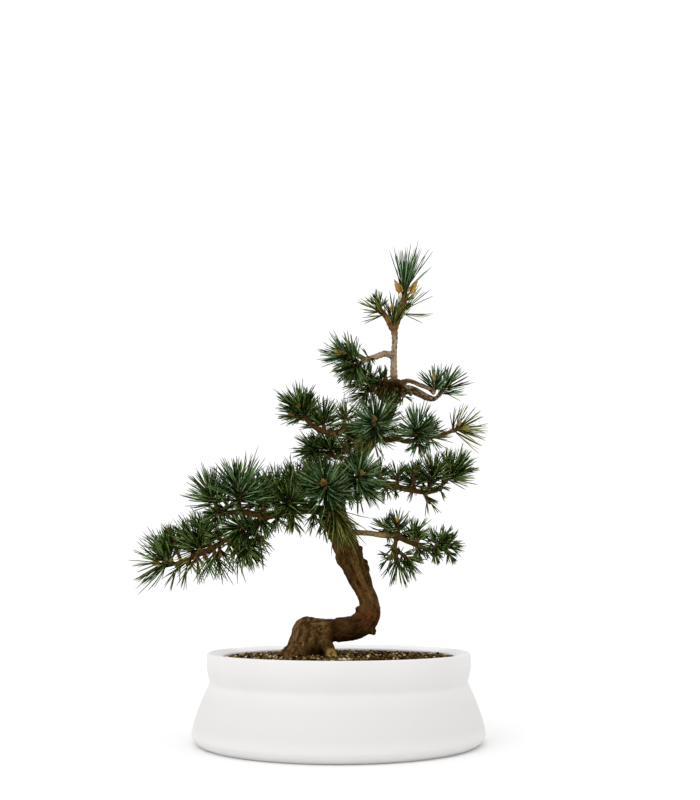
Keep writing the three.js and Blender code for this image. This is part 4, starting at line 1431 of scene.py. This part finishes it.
@dataclass
class Wood:
    """The roots, trunk, branches and twigs, grown together as one piece with furrowed bark.

    The bark stands out by at most ridge of the limb's radius and by at most deepest. It has so many plates a
    metre, longer than wide by stretch. The leader has rings, and a cleft parts the knee from the arm. The
    reliefs are shares of the bark's depth, and warp_lumps, swells and grain are lumps a metre. The noise that
    warps the plates has a seed, because it would otherwise take the time for one and differ in each run.
    """

    seed: int = 7
    voxel: float = 0.0009
    ridge: float = 0.115
    deepest: float = 0.0011
    plates: float = 380
    stretch: float = 0.6
    ring_spacing: float = 0.0042
    ringed_z: Band = (0.292, 0.300, 0.346, 0.352)
    ringed_girth: Span = (0.002, 0.0024)
    cleft_x: Band = (-0.0075, -0.0048, -0.0030, -0.0008)
    cleft_top: Span = (0.092, 0.100)
    cleft_girth: Span = (0.008, 0.0095)
    cleft_sway: Span = (700, 0.0008)
    warp_lumps: float = 310
    warp: float = 0.6
    crack_edge: float = 3.2
    swells: float = 80
    grain: float = 700
    scar_relief: float = 2.2
    ring_relief: float = 0.6
    crack_relief: float = 0.3
    cleft_relief: float = 1.1
    smoothing: int = 3

    def limb(self, name: str, path: np.ndarray) -> bpy.types.Object:
        """Makes a limb from a round bevelled curve through its path.

        Args:
            name: the limb's name.
            path: its points and radii.

        Returns:
            The closed limb.
        """
        curve = bpy.data.curves.new(name, "CURVE")
        curve.dimensions = "3D"
        curve.bevel_depth = 1.0
        curve.bevel_resolution = 4
        curve.use_fill_caps = True
        spline = curve.splines.new("POLY")
        spline.points.add(len(path) - 1)
        for point, (x, y, z, radius) in zip(spline.points, path):
            point.co = (x, y, z, 1)
            point.radius = radius
        piece = bpy.data.objects.new(name, curve)
        bpy.context.scene.collection.objects.link(piece)
        select_only(piece)
        bpy.ops.object.convert(target="MESH")
        return bpy.context.object

    def knot(self, station: Station) -> bpy.types.Object:
        """Makes a round swelling.

        Args:
            station: its place and radius in millimetres.

        Returns:
            The swelling.
        """
        x, y, z, radius = (value * MM for value in station)
        deselect_all()
        bpy.ops.mesh.primitive_ico_sphere_add(subdivisions=3, radius=radius, location=(x, y, z))
        return bpy.context.object

    def scars(self, places: np.ndarray) -> np.ndarray:
        """Finds the scars of old branches.

        Args:
            places: the bark's points, one in a row.

        Returns:
            How much of a scar each point has, from 0 to 1.
        """
        scar = np.zeros(len(places))
        for x, y, z, radius in np.array(KNOTS_MM) * MM:
            apart = np.linalg.norm(places - (x, y, z), axis=1)
            scar = np.maximum(scar, 1 - ramp(apart, radius * 0.9, radius * 1.4))
        return scar

    def flakes(self, near: Nearest) -> tuple[np.ndarray, np.ndarray, np.ndarray]:
        """Breaks the bark into plates with cracks between.

        Args:
            near: the limb at each point.

        Returns:
            For each point how far it stands out, how deep in a crack it is, and its plate's own number.
        """
        noise.seed_set(self.seed)
        heights, cracks, plates = (np.empty(len(near.girth)) for _ in range(3))
        for i, (across, over, along) in enumerate(near.limb.tolist()):
            seen = Vector((across, over, along * self.stretch))
            warped = seen * self.plates + noise.noise_vector(seen * self.warp_lumps) * self.warp
            distances, centres = noise.voronoi(warped)
            cracks[i] = max(0.0, 1 - (distances[1] - distances[0]) * self.crack_edge)
            plates[i] = 0.5 + 0.5 * noise.noise(centres[0] * 5.3)
            lump = noise.noise(Vector((across, over, along * 0.7)) * self.swells)
            heights[i] = lump * 0.9 + (plates[i] - 0.5) * 0.9 + noise.noise(seen * self.grain) * 0.3
        return heights, cracks, plates

    def cleft(self, places: np.ndarray, girth: np.ndarray) -> np.ndarray:
        """Finds the cleft between the knee and the arm.

        Args:
            places: the bark's points, one in a row.
            girth: the limb's radius at each point.

        Returns:
            How deep in the cleft each point is, from 0 to 1.
        """
        waves, sway = self.cleft_sway
        across = places[:, 0] + np.sin(places[:, 2] * waves) * sway
        front = (1 - ramp(places[:, 2], *self.cleft_top)) * (places[:, 1] < 0)
        return band(across, *self.cleft_x) * (front * ramp(girth, *self.cleft_girth))

    def build(self, skeleton: Skeleton) -> None:
        """Grows the limbs together, cuts the bark's relief and dresses it.

        Args:
            skeleton: the tree's limbs.
        """
        pieces = [self.limb(name, path) for name, path in skeleton.paths.items()]
        pieces += [self.knot(station) for station in SWELLINGS_MM + KNOTS_MM]
        select_only(*pieces)
        bpy.ops.object.join()
        wood = bpy.context.object
        wood.name = "tree_wood"
        apply_modifier(wood, "REMESH", mode="VOXEL", voxel_size=self.voxel)
        apply_modifier(wood, "SMOOTH", factor=0.5, iterations=self.smoothing)
        places, normals = per_point(wood), per_point(wood, "normal")
        near = skeleton.nearest(places)
        heights, cracks, plates = self.flakes(near)
        scar, cleft = self.scars(places), self.cleft(places, near.girth)
        rings = band(places[:, 2], *self.ringed_z) * np.sin(near.limb[:, 2] * math.tau / self.ring_spacing)
        rings *= ramp(near.girth, *self.ringed_girth)
        heights += scar * (plates - 0.4) * self.scar_relief + rings * self.ring_relief
        heights -= cracks * self.crack_relief + cleft * self.cleft_relief
        depth = np.minimum(self.deepest, near.girth * self.ridge)
        move_points(wood, places + normals * (heights * depth)[:, None])
        carry(wood, "girth", near.girth)
        carry(wood, "crack", np.maximum(cracks, cleft))
        carry(wood, "plate", plates)
        carry(wood, "scar", scar)
        carry(wood, "limb", near.limb, "FLOAT_VECTOR")
        select_only(wood)
        bpy.ops.object.shade_smooth()
        finished(wood, Bark().material(), ("wood",))


class Spike:
    """A three-sided tapering form of length 1 and radius 1, modelled once for needles and for scales."""

    def __init__(self, outline: tuple[Span, ...]) -> None:
        """Models the form by extruding and scaling a triangle.

        Args:
            outline: each ring's radius and height. The form ends in a point at height 1.
        """
        deselect_all()
        bpy.ops.mesh.primitive_circle_add(vertices=3, radius=outline[0][0], fill_type="NGON")
        form = bpy.context.object
        bpy.ops.object.mode_set(mode="EDIT")
        extrude_rings(outline)
        bpy.ops.mesh.extrude_region_move(TRANSFORM_OT_translate={"value": (0, 0, 1 - outline[-1][1])})
        bpy.ops.mesh.merge(type="CENTER")
        bpy.ops.mesh.select_all(action="SELECT")
        bpy.ops.mesh.quads_convert_to_tris()
        bpy.ops.mesh.normals_make_consistent(inside=False)
        bpy.ops.object.mode_set(mode="OBJECT")
        self.points = per_point(form)
        self.corners = np.array([list(face.vertices) for face in form.data.polygons])
        middles = self.points[self.corners].mean(1)
        angles = np.arctan2(middles[:, 1], middles[:, 0])
        self.inner = np.abs((angles - angles[0] + math.pi) % math.tau - math.pi) > 1.0
        bpy.data.objects.remove(form)

    def copies(self, roots: np.ndarray, ways: np.ndarray, lengths: np.ndarray, widths: np.ndarray,
               bends: np.ndarray, turns: np.ndarray) -> tuple[np.ndarray, np.ndarray]:
        """Copies of the form, each in its own place.

        Args:
            roots: where each copy starts.
            ways: the direction that each copy points, of length 1.
            lengths: each copy's length.
            widths: each copy's radius.
            bends: how far each copy's tip is carried aside, as a share of its length.
            turns: how far each copy is turned about itself.

        Returns:
            The points of all copies and the three points of each of their triangles.
        """
        helper = np.where(np.abs(ways[:, 2:]) > 0.9, [[1.0, 0, 0]], [[0, 0, 1.0]])
        across = np.cross(ways, helper)
        across /= np.linalg.norm(across, axis=1, keepdims=True)
        over = np.cross(ways, across)
        cosine, sine = np.cos(turns)[:, None], np.sin(turns)[:, None]
        across, over = across * cosine + over * sine, over * cosine - across * sine
        x, y, z = (self.points[None, :, k, None] for k in range(3))
        line = ways[:, None] * z + bends[:, None] * z**2
        places = roots[:, None] + line * lengths[:, None, None]
        places = places + (across[:, None] * x + over[:, None] * y) * widths[:, None, None]
        offsets = np.arange(len(roots))[:, None, None] * len(self.points)
        return places.reshape(-1, 3), (self.corners + offsets).reshape(-1, 3)


@dataclass
class Foliage:
    """The sprays of needles. Each is a piece of its own, with its needles in bundles round the twig.

    A seat is where a bundle sits, as a share of the core, and a reach a share of the shoot's. Angles are in
    degrees, apart from the two jitters round the twig and round a bundle.
    """

    form: tuple[Span, ...] = ((0.75, 0), (1.0, 0.3), (0.95, 0.66), (0.6, 0.9))
    radius: float = 0.00049
    per_bundle: int = 5
    twig: float = 0.0010
    first_seat: float = -0.25
    last_seat: float = 0.80
    round_twig_jitter: float = 0.4
    round_bundle_jitter: float = 0.3
    close_tilt: float = 10
    close_share: float = 0.32
    tilt_jitter: float = 8
    spread: Span = (4, 15)
    bundle_reach: Span = (0.86, 1.0)
    needle_reach: Span = (0.74, 1.04)
    forward: float = 0.10
    stray: float = 0.07
    wood_room: float = 0.0006
    tested: tuple[float, ...] = (0.35, 0.5, 0.65, 0.8, 1.0)
    margin: float = 0.0003
    seed: int = 500

    def needles(self, shoot: Shoot, rng: random.Random) -> dict[str, np.ndarray]:
        """Draws a spray's needles.

        Args:
            shoot: the twig that carries them.
            rng: the random numbers.

        Returns:
            The roots, ways, lengths, bends and turns of the needles.
        """
        grows, ends = Vector(shoot.grows) * MM, Vector(shoot.ends) * MM
        axis = (ends - grows).normalized()
        core = shoot.core_length() * MM
        close = max(self.close_tilt, shoot.wide * self.close_share)
        start = ends - axis * core
        side = Vector((0, 0, 1)).cross(axis).normalized()
        front = axis.cross(side)
        roots, ways, lengths, bends, turns = [], [], [], [], []
        for k in range(shoot.bundles):
            share = (k + 0.5) / shoot.bundles
            angle = k * GOLDEN_ANGLE + rng.uniform(-self.round_twig_jitter, self.round_twig_jitter)
            outward = side * math.cos(angle) + front * math.sin(angle)
            seat = core * (self.first_seat + (self.last_seat - self.first_seat) * share)
            root = start + axis * seat + outward * self.twig
            tilt = math.radians(shoot.wide + (close - shoot.wide) * share + rng.gauss(0, self.tilt_jitter))
            middle = axis * math.cos(tilt) + outward * math.sin(tilt)
            reach = shoot.reach * MM * rng.uniform(*self.bundle_reach)
            for number in range(self.per_bundle):
                roots.append(tuple(root))
                ways.append(tuple(self.splayed(middle, number, rng)))
                lengths.append(reach * rng.uniform(*self.needle_reach))
                bend = axis * self.forward * math.sin(tilt) + Vector((0, 0, -shoot.droop)) * rng.random()
                bends.append(tuple(bend + Vector([rng.gauss(0, self.stray) for _ in range(3)])))
                turns.append(rng.uniform(0, math.tau))
        found = {"roots": roots, "ways": ways, "lengths": lengths, "bends": bends, "turns": turns}
        return {name: np.array(values) for name, values in found.items()}

    def splayed(self, middle: Vector, number: int, rng: random.Random) -> Vector:
        """Splays a needle from the middle of its bundle.

        Args:
            middle: the direction of the bundle.
            number: the needle's number in it.
            rng: the random numbers.

        Returns:
            The needle's direction.
        """
        across = middle.orthogonal().normalized()
        over = middle.cross(across)
        jitter = rng.uniform(-self.round_bundle_jitter, self.round_bundle_jitter)
        around = number * math.tau / self.per_bundle + jitter
        splay = math.radians(rng.uniform(*self.spread))
        aside = across * math.cos(around) + over * math.sin(around)
        return (middle * math.cos(splay) + aside * math.sin(splay)).normalized()

    def clear(self, found: dict[str, np.ndarray], skeleton: Skeleton) -> np.ndarray:
        """Tests which needles stay clear of the wood beyond their own roots.

        Args:
            found: the needles.
            skeleton: the tree's limbs.

        Returns:
            For each needle whether it is clear.
        """
        free = np.ones(len(found["roots"]), bool)
        for share in self.tested:
            line = found["ways"] * share + found["bends"] * share**2
            places = found["roots"] + line * found["lengths"][:, None]
            free &= skeleton.nearest(places).gap > self.wood_room
        return free

    def fit(self, found: dict[str, np.ndarray], low: np.ndarray, high: np.ndarray) -> None:
        """Shortens the needles that would leave a box.

        Args:
            found: the needles.
            low: the box's lowest corner.
            high: its highest corner.
        """
        line = found["ways"] + found["bends"]
        room = np.where(line > 0, high - self.margin - found["roots"], found["roots"] - low - self.margin)
        most = (room / np.maximum(np.abs(line), 1e-9)).min(1)
        found["lengths"] = np.minimum(found["lengths"], most)

    def build(self, skeleton: Skeleton, low: np.ndarray, high: np.ndarray) -> None:
        """Makes every spray within a box.

        Args:
            skeleton: the tree's limbs.
            low: the box's lowest corner.
            high: its highest corner.
        """
        form = Spike(self.form)
        finishes = {tone: needles.material() for tone, needles in NEEDLES.items()}
        for number, (name, shoot) in enumerate(SHOOTS.items()):
            spray = self.spray("spray_" + name, form, (shoot,), skeleton, (low, high), self.seed + number)
            finished(spray, finishes[shoot.tone], ("needles_" + name,))
        for number, tone in enumerate(Tone):
            shoots = tuple(shoot for shoot in INNER_SHOOTS if shoot.tone is tone)
            name = "inner_" + tone.value
            inner = self.spray(name, form, shoots, skeleton, (low, high), self.seed - 1 - number)
            finished(inner, finishes[tone])

    def spray(self, name: str, form: Spike, shoots: tuple[Shoot, ...], skeleton: Skeleton,
              box: tuple[np.ndarray, np.ndarray], seed: int) -> bpy.types.Object:
        """Makes one piece of the needles on some shoots.

        Args:
            name: the piece's name.
            form: the form of a needle.
            shoots: the shoots that carry the needles.
            skeleton: the tree's limbs.
            box: the lowest and highest corners that the needles stay between.
            seed: the start of the random numbers.

        Returns:
            The new piece.
        """
        rng = random.Random(seed)
        drawn = [self.needles(shoot, rng) for shoot in shoots]
        found = {key: np.concatenate([part[key] for part in drawn]) for key in drawn[0]}
        free = self.clear(found, skeleton)
        found = {key: values[free] for key, values in found.items()}
        self.fit(found, *box)
        count = len(found["roots"])
        places, corners = form.copies(widths=np.full(count, self.radius), **found)
        spray = mesh_piece(name, places, corners)
        shades = np.array([rng.random() for _ in range(count)])
        carry(spray, "stage", np.tile(form.points[:, 2], count))
        carry(spray, "shade", np.repeat(shades, len(form.points)))
        carry(spray, "inner", np.tile(form.inner, count), on="FACE")
        return spray


@dataclass
class Buds:
    """The buds that end the twigs, and the bracts that roughen the twigs below the needles.

    A bud's scales sit on a form that is scale_out of its radius wide and narrows by a turn of scale_turn
    over scale_rise of its length. They lean out by first_tilt at the foot and by tilt_fall less at the end.
    The side buds of a cluster are side_shares as long and as wide as the middle one.
    """

    form: tuple[Span, ...] = ((0.9, 0), (1.0, 0.45))
    length: float = 0.0065
    radius: float = 0.0018
    small_bud: float = 0.25
    scales: int = 26
    scale_length: float = 0.4
    scale_width: float = 0.45
    scale_out: float = 0.75
    scale_turn: float = 1.45
    scale_rise: float = 0.62
    first_tilt: float = 0.42
    tilt_fall: float = 0.55
    bracts: int = 44
    bract_stretch: Span = (0.15, 0.85)
    bract_out: float = 0.0010
    bract_tilts: Span = (0.2, 0.6)
    bract_lengths: Span = (0.0016, 0.0030)
    bract_width: float = 0.0005
    cluster_seat: float = 0.0015
    side_seat: float = -0.003
    side_shares: Span = (0.8, 0.85)
    side_turn: float = 0.9
    lean: float = math.radians(38)
    seed: int = 900

    def scale(self, base: Vector, way: Vector, along: float, out: float, tilt: float,
              turn: float) -> tuple[Vector, Vector]:
        """Places a scale round a bud or twig.

        Args:
            base: where the bud or twig starts.
            way: the direction that it points.
            along: how far along it the scale starts.
            out: how far from its middle the scale starts.
            tilt: the scale's angle to it.
            turn: the angle round it.

        Returns:
            Where the scale starts and the direction that it points.
        """
        side = way.orthogonal().normalized()
        outward = side * math.cos(turn) + way.cross(side) * math.sin(turn)
        return base + way * along + outward * out, way * math.cos(tilt) + outward * math.sin(tilt)

    def bud(self, base: Vector, way: Vector, length: float, radius: float) -> list[tuple[float, ...]]:
        """Places the scales of one bud.

        Args:
            base: where the bud starts.
            way: the direction that it points.
            length: its length.
            radius: its radius.

        Returns:
            For each scale its root, its way, its length, its width and 1 for a bud.
        """
        found = []
        for k in range(self.scales):
            share = k / self.scales
            out = radius * self.scale_out * math.cos(share * self.scale_turn)
            tilt = self.first_tilt - self.tilt_fall * share
            seat, turn = length * share * self.scale_rise, k * GOLDEN_ANGLE
            root, points = self.scale(base, way, seat, out, tilt, turn)
            found.append((*root, *points, length * self.scale_length, radius * self.scale_width, 1.0))
        return found

    def shoot_scales(self, shoot: Shoot, cluster: tuple[int, float, float] | None,
                     rng: random.Random) -> list[tuple[float, ...]]:
        """Places the scales of a shoot's buds and the bracts of its twig.

        Args:
            shoot: the twig.
            cluster: the number, length and radius in millimetres of its buds, or none for one small bud.
            rng: the random numbers.

        Returns:
            For each scale and bract its root, way, length and width, and how much it belongs to a large bud.
        """
        grows, ends = Vector(shoot.grows) * MM, Vector(shoot.ends) * MM
        axis = (ends - grows).normalized()
        twig = (ends - grows).length - self.length
        bare, rest = self.bract_stretch
        found = []
        for k in range(self.bracts):
            along = twig * (bare + rest * (k + rng.random()) / self.bracts)
            tilt = rng.uniform(*self.bract_tilts)
            root, points = self.scale(grows, axis, along, self.bract_out, tilt, k * GOLDEN_ANGLE)
            found.append((*root, *points, rng.uniform(*self.bract_lengths), self.bract_width, 0.0))
        if cluster is None:
            bud = self.bud(grows + axis * twig, axis, self.length, self.radius)
            return found + [(*scale[:-1], self.small_bud) for scale in bud]
        count, length, radius = cluster
        shorter, slimmer = self.side_shares
        found += self.bud(ends - axis * self.cluster_seat, axis, length * MM, radius * MM)
        for k in range(count - 1):
            turn = k * math.tau / (count - 1) + self.side_turn
            root, way = self.scale(ends, axis, self.side_seat, radius * MM, self.lean, turn)
            found += self.bud(root, way, length * MM * shorter, radius * MM * slimmer)
        return found

    def build(self, low: np.ndarray, high: np.ndarray) -> None:
        """Makes all buds and bracts as one piece within a box.

        Args:
            low: the box's lowest corner.
            high: its highest corner.
        """
        form = Spike(self.form)
        rng = random.Random(self.seed)
        rows = []
        for name, shoot in SHOOTS.items():
            rows += self.shoot_scales(shoot, BUD_CLUSTERS.get(name), rng)
        for shoot in INNER_SHOOTS:
            rows += self.shoot_scales(shoot, None, rng)
        for base, end, radius in CONES_MM:
            way = (Vector(end) - Vector(base)) * MM
            rows += self.bud(Vector(base) * MM, way.normalized(), way.length, radius * MM)
        found = np.array(rows)
        turns = np.array([rng.uniform(0, math.tau) for _ in rows])
        straight = np.zeros((len(rows), 3))
        places, corners = form.copies(found[:, :3], found[:, 3:6], found[:, 6], found[:, 7], straight, turns)
        buds = mesh_piece("buds_and_bracts", places.clip(low, high), corners)
        carry(buds, "stage", np.tile(form.points[:, 2], len(rows)))
        carry(buds, "bud", np.repeat(found[:, 8], len(form.points)))
        finished(buds, BudScales().material())


@dataclass
class Studio:
    """A plain pale floor, soft light and the camera at the photograph's viewing angle.

    The key light faces aim. The room's dim wall begins where a direction's X passes wall_from.
    """

    camera: Point = (0.009, -0.845, 0.122)
    pitch: float = math.radians(10.6)
    lens: float = 45
    nearest: float = 0.01
    floor_size: float = 12
    white: Colour = (1.06, 1.06, 1.06)
    dim: Colour = (0.96, 0.945, 0.93)
    wall_from: float = 0.42
    key_place: Point = (-0.9, -1.1, 1.5)
    key_size: float = 0.9
    key_power: float = 5
    aim: Point = (0, 0, 0.15)
    sky_height: float = 2
    sky_power: float = 0.6
    sky_angle: float = math.radians(80)

    def build(self) -> None:
        """Sets the floor, the lights and the camera."""
        deselect_all()
        bpy.ops.mesh.primitive_plane_add(size=self.floor_size, location=(0, 0, 0))
        floor = bpy.context.object
        floor.name = "studio_floor"
        floor.data.materials.append(Backdrop().material())
        floor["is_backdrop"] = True
        self.lights()
        scene = bpy.context.scene
        scene.world = self.room()
        scene.view_settings.view_transform = "Standard"
        bpy.ops.object.camera_add(location=self.camera, rotation=(math.pi / 2 + self.pitch, 0, 0))
        camera = bpy.context.object
        camera.data.lens = self.lens
        camera.data.clip_start = self.nearest
        scene.camera = camera

    def lights(self) -> None:
        """Hangs a square soft light before the tree and a very soft one straight above it."""
        way = (Vector(self.aim) - Vector(self.key_place)).to_track_quat("-Z", "Y")
        bpy.ops.object.light_add(type="AREA", location=self.key_place, rotation=way.to_euler())
        key = bpy.context.object
        key.name = "key_light"
        key.data.size, key.data.energy = self.key_size, self.key_power
        bpy.ops.object.light_add(type="SUN", location=(0, 0, self.sky_height))
        sky = bpy.context.object
        sky.name = "skylight"
        sky.data.energy, sky.data.angle = self.sky_power, self.sky_angle

    def room(self) -> bpy.types.World:
        """Makes a white room with a slightly warmer, dimmer wall on the right, beyond what the camera sees.

        Returns:
            The room, as the scene's world.
        """
        world = bpy.data.worlds.new("white_room")
        world.use_nodes = True
        nodes, link = world.node_tree.nodes, world.node_tree.links.new
        kinds = ("TexCoord", "SeparateXYZ", "MapRange", "Mix")
        way, parts, share, wall = (nodes.new("ShaderNode" + kind) for kind in kinds)
        share.inputs["From Min"].default_value = self.wall_from
        wall.data_type = "RGBA"
        wall.inputs[6].default_value = (*self.white, 1)
        wall.inputs[7].default_value = (*self.dim, 1)
        link(way.outputs["Generated"], parts.inputs[0])
        link(parts.outputs["X"], share.inputs["Value"])
        link(share.outputs[0], wall.inputs[0])
        link(wall.outputs[2], nodes["Background"].inputs["Color"])
        return world


def main() -> None:
    """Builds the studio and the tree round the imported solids."""
    logging.basicConfig(level=logging.INFO, format="%(name)s: %(message)s")
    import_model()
    low, high = (np.array(corner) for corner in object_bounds())
    Studio().build()
    skeleton = Skeleton()
    Pot().build()
    Soil().build(skeleton)
    Wood().build(skeleton)
    Foliage().build(skeleton, low, high)
    Buds().build(low, high)


if __name__ == "__main__":
    main()
